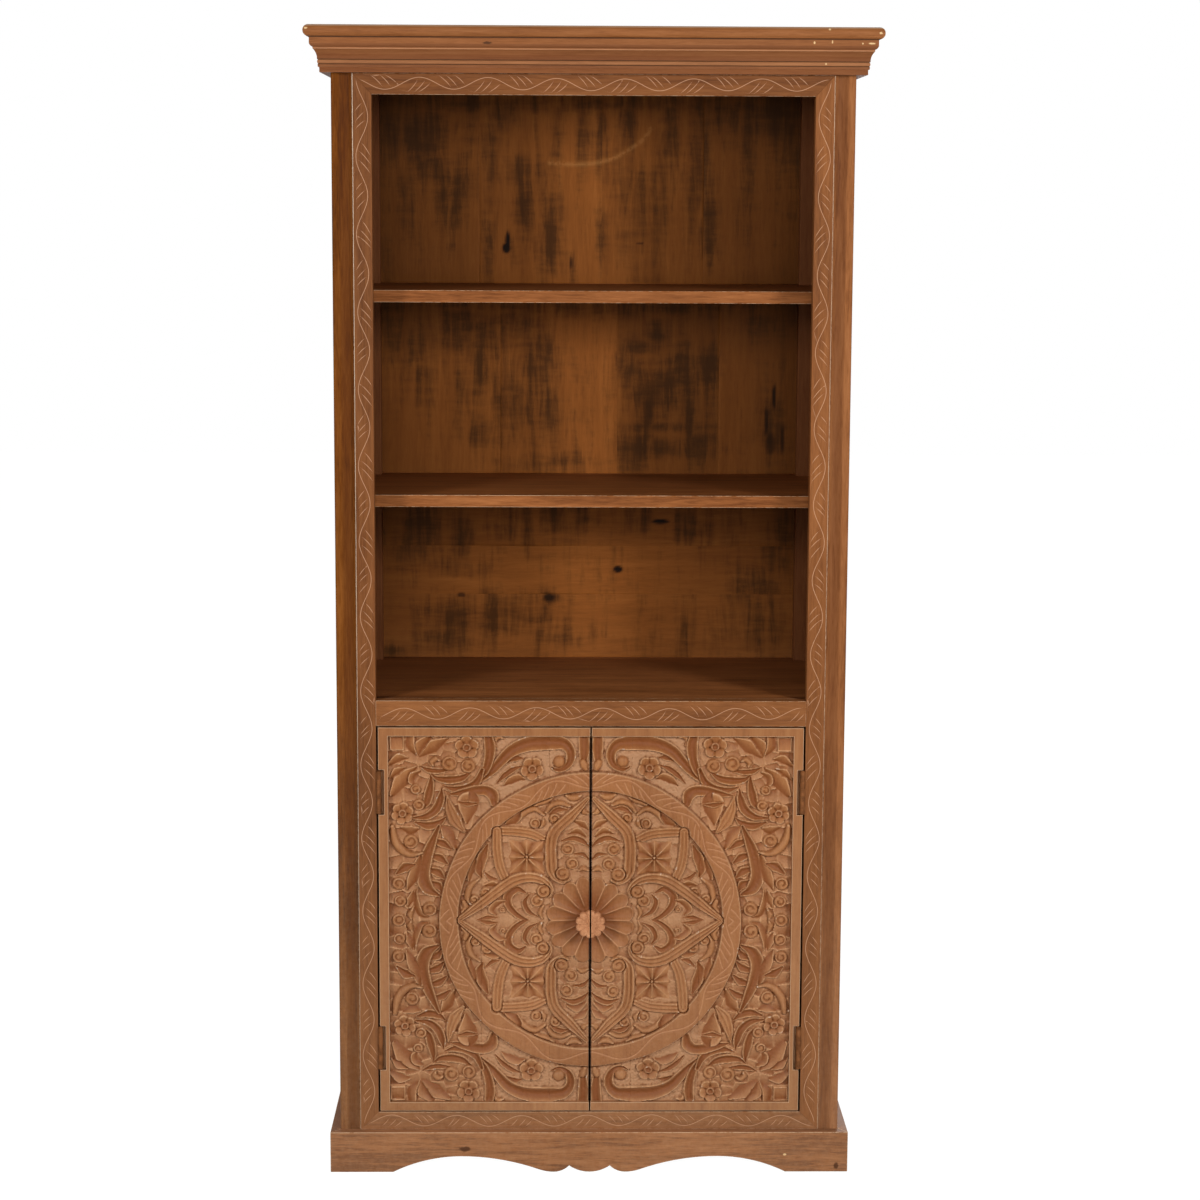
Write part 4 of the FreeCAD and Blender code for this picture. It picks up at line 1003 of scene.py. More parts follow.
def near_line(x, z, line):
    """The distance from each place to a line, the side it lies on and how far along that is."""
    start, run = line[:-1], np.diff(line, axis=0)
    gap_x, gap_z = x[..., None] - start[:, 0], z[..., None] - start[:, 1]
    share = np.clip((gap_x * run[:, 0] + gap_z * run[:, 1]) / (run**2).sum(1), 0.0, 1.0)
    off = np.hypot(gap_x - share * run[:, 0], gap_z - share * run[:, 1])
    nearest = off.argmin(-1)[..., None]
    side = np.sign(run[:, 0] * gap_z - run[:, 1] * gap_x)
    taken = [np.take_along_axis(grid, nearest, -1)[..., 0] for grid in (off, side, share)]
    return taken[0], taken[1], nearest[..., 0] + taken[2]


def blurred(grid, reach):
    """The mean over a square of places round each one."""
    for axis in (0, 1):
        padding = [(0, 0), (0, 0)]
        padding[axis] = (reach + 1, reach)
        total = np.cumsum(np.pad(grid, padding, mode="edge"), axis=axis)
        width = 2 * reach + 1
        upper = np.take(total, np.arange(width, total.shape[axis]), axis=axis)
        lower = np.take(total, np.arange(0, total.shape[axis] - width), axis=axis)
        grid = (upper - lower) / width
    return grid


def raised(top, share):
    """Heights between the low ground and the top of a form."""
    return LOW_HEIGHT + (top - LOW_HEIGHT) * share


def petal_places(angle, reach, petals):
    """Where each place lies across its petal, from -0.5 to 0.5, and how far it is from the next."""
    within = np.mod(angle * petals / FULL_TURN, 1.0) - 0.5
    return within, (0.5 - np.abs(within)) * FULL_TURN * reach / petals


def work(make, motifs, **options):
    for motif in motifs:
        make(*motif, **options)


class Relief:
    """One quarter of the carving, on the grid of one board."""

    def __init__(self, across, upward, hand):
        self.across, self.upward = across, upward
        grid_x, grid_z = np.meshgrid(across, upward)
        calm = np.clip(grid_x / CALM_WIDTH, 0, 1) * np.clip(grid_z / CALM_WIDTH, 0, 1) * WOBBLE
        along, over, turn = WOBBLE_X
        self.x = grid_x + calm * np.sin(grid_x / along + grid_z / over + hand * turn)
        along, over, turn = WOBBLE_Z
        self.z = grid_z + calm * np.sin(grid_z / along - grid_x / over + hand * turn)
        self.height = np.full(grid_x.shape, GROUND_HEIGHT)
        self.bare = np.ones(grid_x.shape)
        self.share = np.full(grid_x.shape, FLAT_SHARE)
        self.groove = np.zeros(grid_x.shape)

    def window(self, places, reach):
        places = np.asarray(places)
        low, high = places.min(0) - reach, places.max(0) + reach
        columns = slice(*np.searchsorted(self.across, (low[0], high[0])))
        rows = slice(*np.searchsorted(self.upward, (low[1], high[1])))
        return rows, columns

    def about(self, x, z, reach):
        """The part of the grid round a place, and how far across and upward from it that lies."""
        part = self.window([(x, z)], reach + FORM_MARGIN)
        return part, self.x[part] - x, self.z[part] - z

    def lay(self, part, inside, level, share):
        """Raise a form whose outline lies where the inside distance is zero, with a cut round it.
        The share is 0 in the form's hollows and 1 on its rims. It sets gathered finish and painted
        shade in the hollows, and sanded wear and painted highlight on the rims."""
        cover = smooth(-OUTLINE_WIDTH, OUTLINE_WIDTH, inside)
        moat = smooth(-MOAT_WIDTH, 0.0, inside)
        height = self.height[part]
        height = np.minimum(height, height + (MOAT_HEIGHT - height) * moat)
        self.height[part] = height + (level - height) * cover
        self.bare[part] *= 1.0 - cover
        self.share[part] += (share - self.share[part]) * cover

    def leaf(self, section, top, widths, points, fullness=1.0):
        line, stations = smooth_line(points)
        half = np.interp(stations, np.arange(len(widths)), widths) * fullness
        part = self.window(line, half.max() + FORM_MARGIN)
        distance, side, station = near_line(self.x[part], self.z[part], line)
        own = np.interp(station, np.arange(len(line)), half)
        share = SECTIONS[section](np.clip(side * distance / own, -1, 1))
        paleness = ROUND_PALENESS if section == "round" else 1.0
        self.lay(part, own - distance, raised(top, share), paleness * share)

    def ball(self, x, z, radius, curled=True):
        """A ball with a curl cut into its face, or a plain bead."""
        part, off_x, off_z = self.about(x, z, radius)
        reach = np.hypot(off_x, off_z) / radius
        inner = np.clip(reach, 0, 1)
        share = np.sqrt(1.0 - BEAD_ROUNDNESS * inner**2)
        if curled:
            turn = np.arctan2(off_z, off_x) / FULL_TURN + CURL_TURN_X * x + CURL_TURN_Z * z
            turn = np.mod(turn, 1.0)
            curl = smooth(0.0, CURL_END_SHARE, turn) * smooth(1.0, 1.0 - CURL_END_SHARE, turn)
            off = (inner - CURL_START_SHARE - CURL_GROWTH_SHARE * turn) / CURL_WIDTH_SHARE
            curl *= np.exp(-(off**2))
            share = BALL_FACE_SHARE + BALL_DISH_SHARE * inner**2
            share = share - BALL_EDGE_SHARE * inner**BALL_EDGE_CURVE - CURL_DEPTH_SHARE * curl
        self.lay(part, (1.0 - reach) * radius, raised(BALL_TOP, share), BALL_PALENESS * share)

    def flower(self, centre, radius, petals, turn):
        part, off_x, off_z = self.about(*centre, radius)
        reach, angle = np.hypot(off_x, off_z), np.arctan2(off_z, off_x) - turn
        within, gap = petal_places(angle, reach, petals)
        edge = radius * (1.0 - FLOWER_NOTCH_SHARE * (2 * within) ** 2)
        swell = np.clip(reach / edge, 0, 1) ** FLOWER_CURVE
        level = FLOWER_FLOOR + FLOWER_RISE * swell
        level = level - FLOWER_CUT * np.exp(-((gap / FLOWER_CUT_WIDTH) ** 2))
        level = level + (BOSS_TOP - level) * smooth(*BOSS_EDGE_SHARES, reach / radius)
        level = level + (BOSS_HOLE - level) * smooth(*BOSS_HOLE_SHARES, reach / radius)
        dark, gain = FLOWER_PALENESS
        self.lay(part, edge - reach, level, dark + gain * swell)

    def corner_tile(self, x, z, half):
        part, off_x, off_z = self.about(x, z, half)
        far = np.maximum(np.abs(off_x), np.abs(off_z))
        border = smooth(half - TILE_BORDER[0], half - TILE_BORDER[1], far)
        # The share sets both the tile's slope and its painted light: paler towards its raised lower
        # edge.
        share = TILE_MIDDLE_SHARE - TILE_TILT_SHARE * off_z / half + border
        share = np.clip(share, 0.0, 1.0)
        self.lay(part, half - far, LOW_HEIGHT + TILE_RISE * share, share)

    def star_tile(self):
        part, off_x, off_z = self.about(*TILE_CENTRE, TILE_HALF_WIDTH)
        reach, angle = np.hypot(off_x, off_z), np.arctan2(off_z, off_x)
        scallop = STAR_SCALLOP * np.cos(angle * STAR_RAYS)
        far = np.maximum(np.abs(off_x), np.abs(off_z))
        ray = np.abs(np.mod(angle * STAR_RAYS / FULL_TURN, 1.0) - 0.5) * 2.0
        level = STAR_FLOOR + STAR_RISE * ray**STAR_CURVE * smooth(*STAR_FADE, reach)
        level = level + (STAR_EYE - level) * smooth(*STAR_EYE_EDGE, reach)
        level = level + (STAR_PIN - level) * smooth(*STAR_PIN_EDGE, reach)
        dark, gain = STAR_PALENESS
        self.lay(part, TILE_HALF_WIDTH - far + scallop, level, dark + gain * ray)

    def facets(self):
        """Cover the field with sloping cuts that meet in ridges, lower inside the ring. The part
        over the ring keeps its stippled ground."""
        rng = np.random.default_rng(FACET_SEED)
        places = np.arange(FACET_SPACING / 2, FIELD_REACH, FACET_SPACING)
        centres = np.array([(x, z) for x in places for z in places])
        shift = rng.uniform(-FACET_SHIFT_SHARE, FACET_SHIFT_SHARE, centres.shape)
        centres += shift * FACET_SPACING
        lean = rng.uniform(-FACET_LEAN, FACET_LEAN, len(centres))
        gap_x = self.x[..., None] - centres[:, 0]
        gap_z = self.z[..., None] - centres[:, 1]
        gap = np.hypot(gap_x, gap_z)
        order = np.argpartition(gap, 1, axis=-1)[..., :2]
        near = np.take_along_axis(gap, order, -1)
        own = order[..., :1]
        down = lean[own[..., 0]] * np.take_along_axis(gap_x, own, -1)[..., 0]
        down -= np.take_along_axis(gap_z, own, -1)[..., 0]
        slope = np.clip(0.5 + down / (FACET_RUN_SHARE * FACET_SPACING), 0.0, 1.0)
        ridge = np.exp(-(((near[..., 1] - near[..., 0]) / FACET_RIDGE_WIDTH) ** 2))
        level = FACET_LOW + FACET_RISE * slope**FACET_CURVE + FACET_RIDGE * ridge
        reach = np.hypot(self.x, self.z)
        outer = smooth(RING_MIDDLE, RING_MIDDLE + FACET_FADE, reach) * smooth(*FACET_START, self.x)
        inner = smooth(RING_MIDDLE, RING_MIDDLE - FACET_FADE, reach) * FACET_INNER_SHARE
        dense = np.maximum(outer, inner)
        # Painted light: each facet is paler towards its raised edge and on its ridges.
        dark, slope_gain, ridge_gain = FACET_PALENESS
        paleness = dark + slope_gain * slope + ridge_gain * ridge
        self.height += (level - self.height) * dense
        self.share += (paleness - self.share) * dense
        self.bare *= 1.0 - FACET_BARE_SHARE * dense

    def ring(self):
        off = (np.hypot(self.x, self.z) - RING_MIDDLE) / RING_HALF_WIDTH
        inside = RING_HALF_WIDTH * (1.0 - np.abs(off))
        level = RING_HEIGHT - RING_CROWN * off**RING_CROWN_CURVE
        self.lay(np.s_[:, :], inside, level, RING_SHARE)

    def rosette(self):
        part, x, z = self.about(0, 0, ROSETTE_RADIUS)
        reach = np.hypot(x, z)
        within, gap = petal_places(np.arctan2(x, z), reach, ROSETTE_PETALS)
        edge = ROSETTE_RADIUS * (1.0 - PETAL_NOTCH_SHARE * (2 * within) ** 2)
        share = np.clip(reach / edge, 0, 1)
        ridge = (2 * np.abs(within)) ** PETAL_RIDGE_CURVE
        level = PETAL_FLOOR + PETAL_RISE * share**PETAL_RISE_CURVE
        level = level + PETAL_RIDGE * ridge * smooth(*PETAL_RIDGE_SHARES, share)
        level = np.minimum(level, PETAL_TOP)
        seat = (RELIEF_BASE - ROSETTE_FRONT) / RELIEF_GAIN
        level = level + (seat - level) * smooth(*KNOB_SEAT_EDGE, reach)
        shade = FLAT_SHARE * smooth(*PETAL_SHADE, reach)
        dark, shaded_gain, ridge_gain = PETAL_PALENESS
        self.lay(part, edge - reach, level, shade * (dark + shaded_gain * ridge) + ridge_gain * ridge)
        # Painted highlight: pale lines along the ridges between the petals.
        line = np.exp(-((gap / PETAL_LINE_WIDTH) ** 2)) * smooth(*PETAL_LINE_START, reach)
        line = line * smooth(*PETAL_LINE_SHARES, reach / edge)
        self.groove[part] = np.maximum(self.groove[part], line)

    def incise(self, line, width, depth):
        part = self.window(line, LINE_MARGIN)
        if 0 in self.height[part].shape:
            return
        distance = near_line(self.x[part], self.z[part], line)[0]
        cut = np.exp(-((distance / width) ** 2))
        self.height[part] -= depth * cut
        self.groove[part] = np.maximum(self.groove[part], cut)

    def carve(self, worn):
        """Work the motifs in the order in which they overlap."""
        self.facets()
        work(self.leaf, OUTER_LEAVES, fullness=OUTER_FULLNESS)
        work(self.ball, OUTER_CUPS)
        work(self.ball, OUTER_BEADS, curled=False)
        work(self.flower, FLOWERS)
        work(self.corner_tile, CORNER_TILES)
        work(self.leaf, INNER_LEAVES, fullness=INNER_FULLNESS)
        work(self.ball, INNER_BEADS)
        self.ring()
        work(self.leaf, SQUARE_ARMS)
        self.star_tile()
        work(self.leaf, RIBS)
        work(self.ball, RIB_BALLS)
        self.rosette()
        for line in ring_vine(worn):
            self.incise(line, RING_LINE_WIDTH, RING_LINE_DEPTH)


# Lines of the vine, in millimetres; the veins were drawn for one period and grow with it

VINE_MARGIN = 5.6
VINE_STEP = 3.0
VINE_DRIFT = 0.6
VINE_DRIFT_LENGTH = 71.0
VEIN_PERIOD = 115.0
VEIN_START = -19.0
VEIN_SPACING = 12.0
VEIN_PLAY = 1.5
VEIN_CLEARANCE = 4.6
VEIN_END = 1.9
VEIN_REACH = (15.0, 20.0)
VEIN_BOW = 1.3
VEIN_POINTS = 6
RING_VINE_SEED = 5
RING_VEINS = 4
WORN_ANGLE = 0.9


def vine_lines(length, half, period, start, seed, veins=3):
    """A running vine and its veins on a strip, as lines of places along and across it."""
    rng = np.random.default_rng(seed)
    swing_width = half - VINE_MARGIN
    along = np.arange(start, length - start + 1.0, VINE_STEP)
    drift = VINE_DRIFT * np.sin(along / VINE_DRIFT_LENGTH + seed)
    wave = -swing_width * np.cos(FULL_TURN * (along - start) / period) + drift
    lines = [np.stack([along, wave], axis=1)]
    share = np.linspace(0.0, 1.0, VEIN_POINTS)
    bow = VEIN_BOW * np.sin(math.pi * share)
    turns = int((length - 2 * start) / (period / 2)) + 1
    for turn in range(turns):
        side = -1.0 if turn % 2 == 0 else 1.0
        middle = start + turn * period / 2
        for vein in range(veins):
            offset = (VEIN_START + VEIN_SPACING * vein) * period / VEIN_PERIOD
            offset += rng.uniform(-VEIN_PLAY, VEIN_PLAY)
            crest = swing_width * math.cos(FULL_TURN * offset / period)
            first, last = side * (crest - VEIN_CLEARANCE), -side * (half - VEIN_END)
            reach = rng.uniform(*VEIN_REACH) * period / VEIN_PERIOD
            places = middle + offset + reach * share - bow
            lines.append(np.stack([places, first + (last - first) * share], axis=1))
    return lines


def ring_vine(worn):
    """The vine on the ring, for one quarter; the lower quarters have lost most of their veins."""
    length = FULL_TURN * RING_MIDDLE
    period = length / RING_WAVES
    strip = (length / 4 + period, RING_HALF_WIDTH, period, 0.0, RING_VINE_SEED, RING_VEINS)
    made = []
    for number, line in enumerate(vine_lines(*strip)):
        angle = (line[:, 0] - period / 2) / RING_MIDDLE
        if worn and number and angle.mean() < WORN_ANGLE:
            continue
        reach = RING_MIDDLE - line[:, 1]
        made.append(np.stack([reach * np.sin(angle), reach * np.cos(angle)], axis=1))
    return made


# Finish of the carved boards

SHARP_SHARE = 0.7
MARKED_SHARE = 0.35
HEIGHT_LIMITS = (0.4, 8.4)
FLAW_GAIN = 5.0
FLAW_EDGE = (1.9, 2.6)
CREST_EDGE = (0.45, 1.2)
CREASE_EDGE = (0.5, 1.7)
GROUND_EDGE = (0.7, 2.0)
HOLLOW_SHARES = (0.75, 0.05)
HOLLOW_EDGE = (0.4, 2.6)
RIM_SHARES = (0.75, 1.0)
NEAR_REACH = 2
WIDE_REACH = 6
SEAM_DROP = 0.3
BOARD_TONES = (0.05, -0.12, 0.08)
BOARD_STEP = 0.37
DOOR_STEP = 0.11
SLAB_STEP = 0.71
SLAB_TONE = -0.3
SLAB_EDGE = 0.9
CUT_OVER = 6.0
STRIKE_SIDES = 48


def carved_boards(side, hand):
    """The carved field of one door: three glued boards, from the gap outwards."""
    half_rows = int(FIELD_HALF_HEIGHT / GRID_STEP)
    upward = np.linspace(GRID_STEP / 2, FIELD_HALF_HEIGHT, half_rows)
    places = np.concatenate([-upward[::-1], upward]) + DOOR_MIDDLE
    limits = (DOOR_INNER, *BOARD_SEAMS, FIELD_REACH)
    for number, (low, high) in enumerate(zip(limits, limits[1:])):
        across = np.linspace(low, high, int((high - low) / GRID_STEP) + 1)
        below, above = Relief(across, upward, hand + LOWER_HAND), Relief(across, upward, hand)
        below.carve(worn=True)
        above.carve(worn=False)
        height, bare, groove, share = (
            np.vstack([getattr(below, grid)[::-1], getattr(above, grid)])
            for grid in ("height", "bare", "groove", "share")
        )
        rng = np.random.default_rng(int(SEEDS_PER_HAND * hand) + number)
        marks = blurred(rng.normal(size=height.shape), 1) * TOOL_MARKS
        height = SHARP_SHARE * height + (1.0 - SHARP_SHARE) * blurred(height, 1)
        height = height + marks * (MARKED_SHARE + (1.0 - MARKED_SHARE) * bare)
        height = np.clip(height, *HEIGHT_LIMITS)
        flaw = blurred(rng.normal(size=height.shape), NEAR_REACH) * FLAW_GAIN
        sunk = blurred(height, NEAR_REACH) - height
        # Painted shade in the cavities: darker where the carving lies below its surroundings.
        cavity_shade = smooth(*HOLLOW_EDGE, blurred(height, WIDE_REACH) - height)
        crest = smooth(*CREST_EDGE, -sunk)
        # Painted shadow near the gap between the doors.
        gap = smooth(GAP_SHADE, GAP_SHADE_FULL, across - DOOR_INNER)
        values = {
            "ground": bare * smooth(*GROUND_EDGE, height),
            "hollow": np.maximum(smooth(*HOLLOW_SHARES, share), cavity_shade),
            # Rims: sanded wear and painted highlight.
            "rim": smooth(*RIM_SHARES, share),
            # Creases: gathered finish and painted shade.
            "crease": smooth(*CREASE_EDGE, sunk),
            # Crests: wear and painted highlight.
            "crest": crest,
            "groove": groove,
            "chip": crest * smooth(*FLAW_EDGE, flaw),
            "gap": np.broadcast_to(gap, height.shape),
        }
        height[:, (0, -1)] -= SEAM_DROP
        fronts = RELIEF_BASE - RELIEF_GAIN * height
        if side < 0:
            across, fronts = -across[::-1], fronts[:, ::-1]
            values = {key: grid[:, ::-1] for key, grid in values.items()}
        name = f"door_{HANDS[side]}_carved_board_{number + 1}"
        piece = relief_board(name, across, places, fronts, BOARD_SEAT, values)
        board, tone = BOARD_STEP * number + DOOR_STEP * side, BOARD_TONES[number] * side
        dress(piece, DOOR_BODIES[side], "carved", (), board, tone)


def subtract(piece, cutters):
    for cutter in cutters:
        tool = piece.modifiers.new("cut", "BOOLEAN")
        tool.operation = "DIFFERENCE"
        tool.solver = "EXACT"
        tool.object = cutter
    settle(piece)
    for cutter in cutters:
        bpy.data.objects.remove(cutter)


def door_slab(side):
    """The border, edges and back of a door, with the seats for its hinges and strike plate."""
    cutters = []

    def box(name, near, far, y, z):
        x = (near, far) if side > 0 else (-far, -near)
        return show(name, to_mesh(block((x[0], y[0], z[0]), (x[1], y[1], z[1])), name))

    def cut(name, near, far, back, middle, half):
        z = (middle - half, middle + half)
        cutters.append(box(name, near, far, (FRAME_FACE - CUT_OVER, back), z))

    name = f"door_{HANDS[side]}"
    thickness, rise = (FRAME_FACE, DOOR_BACK), (DOOR_BOTTOM, DOOR_TOP)
    slab = box(f"{name}_slab", DOOR_INNER, DOOR_OUTER, thickness, rise)
    field = (DOOR_MIDDLE, FIELD_HALF_HEIGHT)
    cut("field_cut", DOOR_INNER - CUT_OVER, FIELD_REACH, BOARD_SEAT, *field)
    for drop in (HINGE_DROP, -HINGE_DROP):
        notch = (DOOR_MIDDLE + drop, HINGE_NOTCH_HALF)
        cut("leaf_cut", LEAF_NOTCH_X, DOOR_OUTER + CUT_OVER, LEAF_NOTCH_BACK, *notch)
        cut("barrel_cut", BARREL_NOTCH_X, DOOR_OUTER + CUT_OVER, BARREL_NOTCH_BACK, *notch)
    bm = bmesh.new()
    turn = Matrix.Rotation(math.pi / 2, 4, "X")
    strike = Vector((side * STRIKE_X, DOOR_BACK - STRIKE_DEPTH + CUT_OVER, STRIKE_Z)) * MM
    radius = STRIKE_RADIUS * MM
    sizes = {"radius1": radius, "radius2": radius, "depth": 2 * CUT_OVER * MM}
    sizes.update({"segments": STRIKE_SIDES, "matrix": Matrix.Translation(strike) @ turn})
    bmesh.ops.create_cone(bm, cap_ends=True, **sizes)
    cutters.append(show("strike_cut", to_mesh(bm, "strike_cut")))
    subtract(slab, cutters)
    bm = bmesh.new()
    bm.from_mesh(slab.data)
    flatten(bm)
    soften(bm, SLAB_EDGE)
    slab.data = to_mesh(bm, f"{name}_slab")
    even_normals(slab)
    body, board = DOOR_BODIES[side], SLAB_STEP * side
    dress(slab, body, "carved", [name], board, SLAB_TONE)


# Vine frame

GROOVE_HALF_WIDTH = 0.68
GROOVE_DEPTH = 0.75
# Each strip: where its middle line starts, the ways along and across it, its length
VINE_STRIPS = {
    "vine_stile_right": ((352.0, 1730.0), (0, -1), (-1, 0), 1664.0),
    "vine_stile_left": ((-352.0, 1730.0), (0, -1), (1, 0), 1664.0),
    "vine_top_rail": ((366.5, 1714.5), (-1, 0), (0, -1), 733.0),
    "vine_bottom_rail": ((366.5, 80.5), (-1, 0), (0, 1), 733.0),
    "vine_middle_rail": ((337.5, 744.25), (-1, 0), (0, -1), 675.0),
}
VINE_HALF_WIDTH = 14.5
VINE_OUTER = 366.5
FRAME_TOP = 1730.0
RUBBED_EDGES = {"vine_stile_right": 0.3, "vine_stile_left": 1.0}
RUBBED_WIDTH = 0.8
# Painted shade: the top rail is darker in the shadow of the cornice, the left stile on the shaded left
# side.
VINE_SHADE_TONES = {"vine_stile_left": -0.5, "vine_top_rail": -0.3}
STILE_PERIOD = 118.0
RAIL_PERIOD = 104.0
VINE_START = 7.0
VINE_EDGE = 0.7
VINE_SHARPNESS = 25.0
VINE_BOARD_STEP = 0.43
OUTLINE_MARGIN = 1.5
FACE_DEPTH = 0.1
FRONT_DEPTH = 2.0
RUB_SHARE = 0.85
GROOVE_END_SHARE = 0.25
FEWEST_PLACES = 4
FRONT_NORMAL = -0.999
TURNED_NORMAL = 0.5
ROUNDED_NORMALS = (-0.99, -0.1)
MITRE_NORMAL = 0.2
CORNER_PLAY = 0.05


def groove_sides(line):
    """The two edges of a groove that narrows towards its ends."""
    run = np.gradient(line, axis=0)
    run /= np.linalg.norm(run, axis=1)[:, None]
    across = np.stack([-run[:, 1], run[:, 0]], axis=1)
    share = np.linspace(0.0, 1.0, len(line))
    swell = np.minimum(share, 1.0 - share) * len(line) / 2.0 + GROOVE_END_SHARE
    half = GROOVE_HALF_WIDTH * np.clip(swell, 0.0, 1.0)[:, None]
    return line + across * half, line - across * half


def vine_strip(node, seed):
    """A strip of the frame whose front carries the incised vine."""
    start, along, across, length = (np.array(value, dtype=float) for value in VINE_STRIPS[node])
    upright = "stile" in node
    bm = solid_copy(node)
    if upright:
        soften(bm, RUBBED_WIDTH, on_outer_edge)
    soften(bm, VINE_EDGE)
    groove = bm.verts.layers.float.new("groove")
    rub_edges(bm, RUBBED_EDGES.get(node, 0.0))
    face_limit = (FRAME_FACE + FACE_DEPTH) * MM
    facing = [f for f in bm.faces if f.normal.y < FRONT_NORMAL]
    facing = [f for f in facing if f.calc_center_median().y < face_limit]
    face = max(facing, key=lambda f: f.calc_area())
    rim = [loop.vert for loop in face.loops]
    bmesh.ops.delete(bm, geom=[face], context="FACES_ONLY")
    outline = np.array([(v.co.x, v.co.z) for v in rim]) / MM
    period = STILE_PERIOD if upright else RAIL_PERIOD
    places = [Vector(point) for point in outline]
    edges = [(i, (i + 1) % len(rim)) for i in range(len(rim))]
    depths = [0.0] * len(rim)
    for line in vine_lines(float(length), VINE_HALF_WIDTH, period, VINE_START, seed):
        line = start + line[:, :1] * along + line[:, 1:] * across
        line = line[inside_outline(line, outline)]
        if len(line) < FEWEST_PLACES:
            continue
        left, right = groove_sides(line)
        count = len(line)
        first = len(places)
        for row, depth in ((left, 0.0), (line, 1.0), (right, 0.0)):
            base = len(places)
            places += [Vector(point) for point in row]
            depths += [depth] * count
            edges += [(base + i, base + i + 1) for i in range(count - 1)]
        for end in (first, first + count - 1):
            edges += [(end, end + count), (end + count, end + 2 * count)]
    flat, _, triangles, origins, _, _ = delaunay_2d_cdt(places, edges, [], 0, WELD, True)
    made = []
    for place, sources in zip(flat, origins):
        source = sources[0] if sources else None
        if source is not None and source < len(rim):
            made.append(rim[source])
            continue
        depth = depths[source] if source is not None else 0.0
        y = FRAME_FACE + depth * GROOVE_DEPTH
        vert = bm.verts.new((place.x * MM, y * MM, place.y * MM))
        vert[groove] = depth
        made.append(vert)
    for triangle in triangles:
        corners = [made[i] for i in triangle]
        if len(set(corners)) == 3:
            bm.faces.new(corners)
    bm.normal_update()
    front_limit = (FRAME_FACE + FRONT_DEPTH) * MM
    for face in bm.faces:
        if face.normal.y > TURNED_NORMAL and face.calc_center_median().y < front_limit:
            face.normal_flip()
    piece = show(f"{node}_finished", to_mesh(bm, node, VINE_SHARPNESS))
    even_normals(piece)
    finish, tone = ("vine_z" if upright else "vine_x"), VINE_SHADE_TONES.get(node, 0.0)
    dress(piece, "carcass", finish, [node], seed * VINE_BOARD_STEP, tone)


def on_outer_edge(edge):
    """Whether an edge runs along the front outer corner of a stile."""
    corner = Vector((VINE_OUTER, FRAME_FACE)) * MM
    gaps = [(Vector((abs(v.co.x), v.co.y)) - corner).length for v in edge.verts]
    return max(gaps) < CORNER_PLAY * MM


def rub_edges(bm, strength):
    """The outer edge of a stile has been rubbed bare, most of all at its upper end, while the
    mitres are tight and show no wear."""
    wear = bm.loops.layers.float["wear"]
    rub = bm.loops.layers.float.new("rub")
    for face in bm.faces:
        centre, normal = face.calc_center_median() / MM, face.normal
        near = abs(centre.x) > VINE_OUTER - RUBBED_WIDTH and centre.y < FRAME_FACE + RUBBED_WIDTH
        outer = near and ROUNDED_NORMALS[0] < normal.y < ROUNDED_NORMALS[1]
        mitred = abs(normal.x) > MITRE_NORMAL and abs(normal.z) > MITRE_NORMAL
        for loop in face.loops:
            if mitred:
                loop[wear] = 0.0
            elif outer:
                loop[rub] = strength * RUB_SHARE * loop.vert.co.z / (FRAME_TOP * MM)


def inside_outline(line, outline):
    """Which places of a line lie well inside a convex outline."""
    ends = np.roll(outline, -1, axis=0)
    turn = np.sign((outline[:, 0] * ends[:, 1] - outline[:, 1] * ends[:, 0]).sum())
    inside = np.ones(len(line), dtype=bool)
    for a, b in zip(outline, ends):
        run = b - a
        length = np.hypot(*run)
        if length > WELD:
            inward = run[0] * (line[:, 1] - a[1]) - run[1] * (line[:, 0] - a[0])
            inside &= inward / length * turn > OUTLINE_MARGIN
    return inside


# Back boards, with their stains

BACK_FACE = 216.0
BACK_REAR = 228.0
BACK_GRID = 3.0
BACK_GRID_EDGE = 0.7
BACK_BOW = 0.2
BACK_BOW_LENGTHS = (83.0, 131.0)
BACK_EDGE_DROP = 0.45
STAIN_AND_SHADOW_SOFTNESS = 0.95
KNOT_SOFTNESS = 0.3
GLAZE_WIDTH = 3.5
BACK_SHIFT_LIMIT = 4
BACK_MIDDLE_LIGHT = 0.3
BACK_SIDE_SHADE = 2.0
BACK_SIDE_SHADE_CURVE = 1.6
BACK_TOP_SHADOW = 0.5
BACK_TOP_SHADOW_SHARES = (0.6, 1.0)
# Each back: whether its boards stand upright, the joints between them, their tones
BACK_BOARDS = {
    "back_panel_top": (True, (-185.0, 20.0, 190.0), (-0.15, 0.05, 0.0, -0.25)),
    "back_panel_middle": (True, (-150.0, 47.0, 219.0), (0.5, 0.3, -0.5, 0.1)),
    "back_panel_lower": (False, (874.0, 957.0), (0.5, 0.5, 0.25)),
    "back_panel_cupboard": (True, (-150.0, 40.0, 190.0), (0.0, 0.2, -0.2, 0.1)),
}
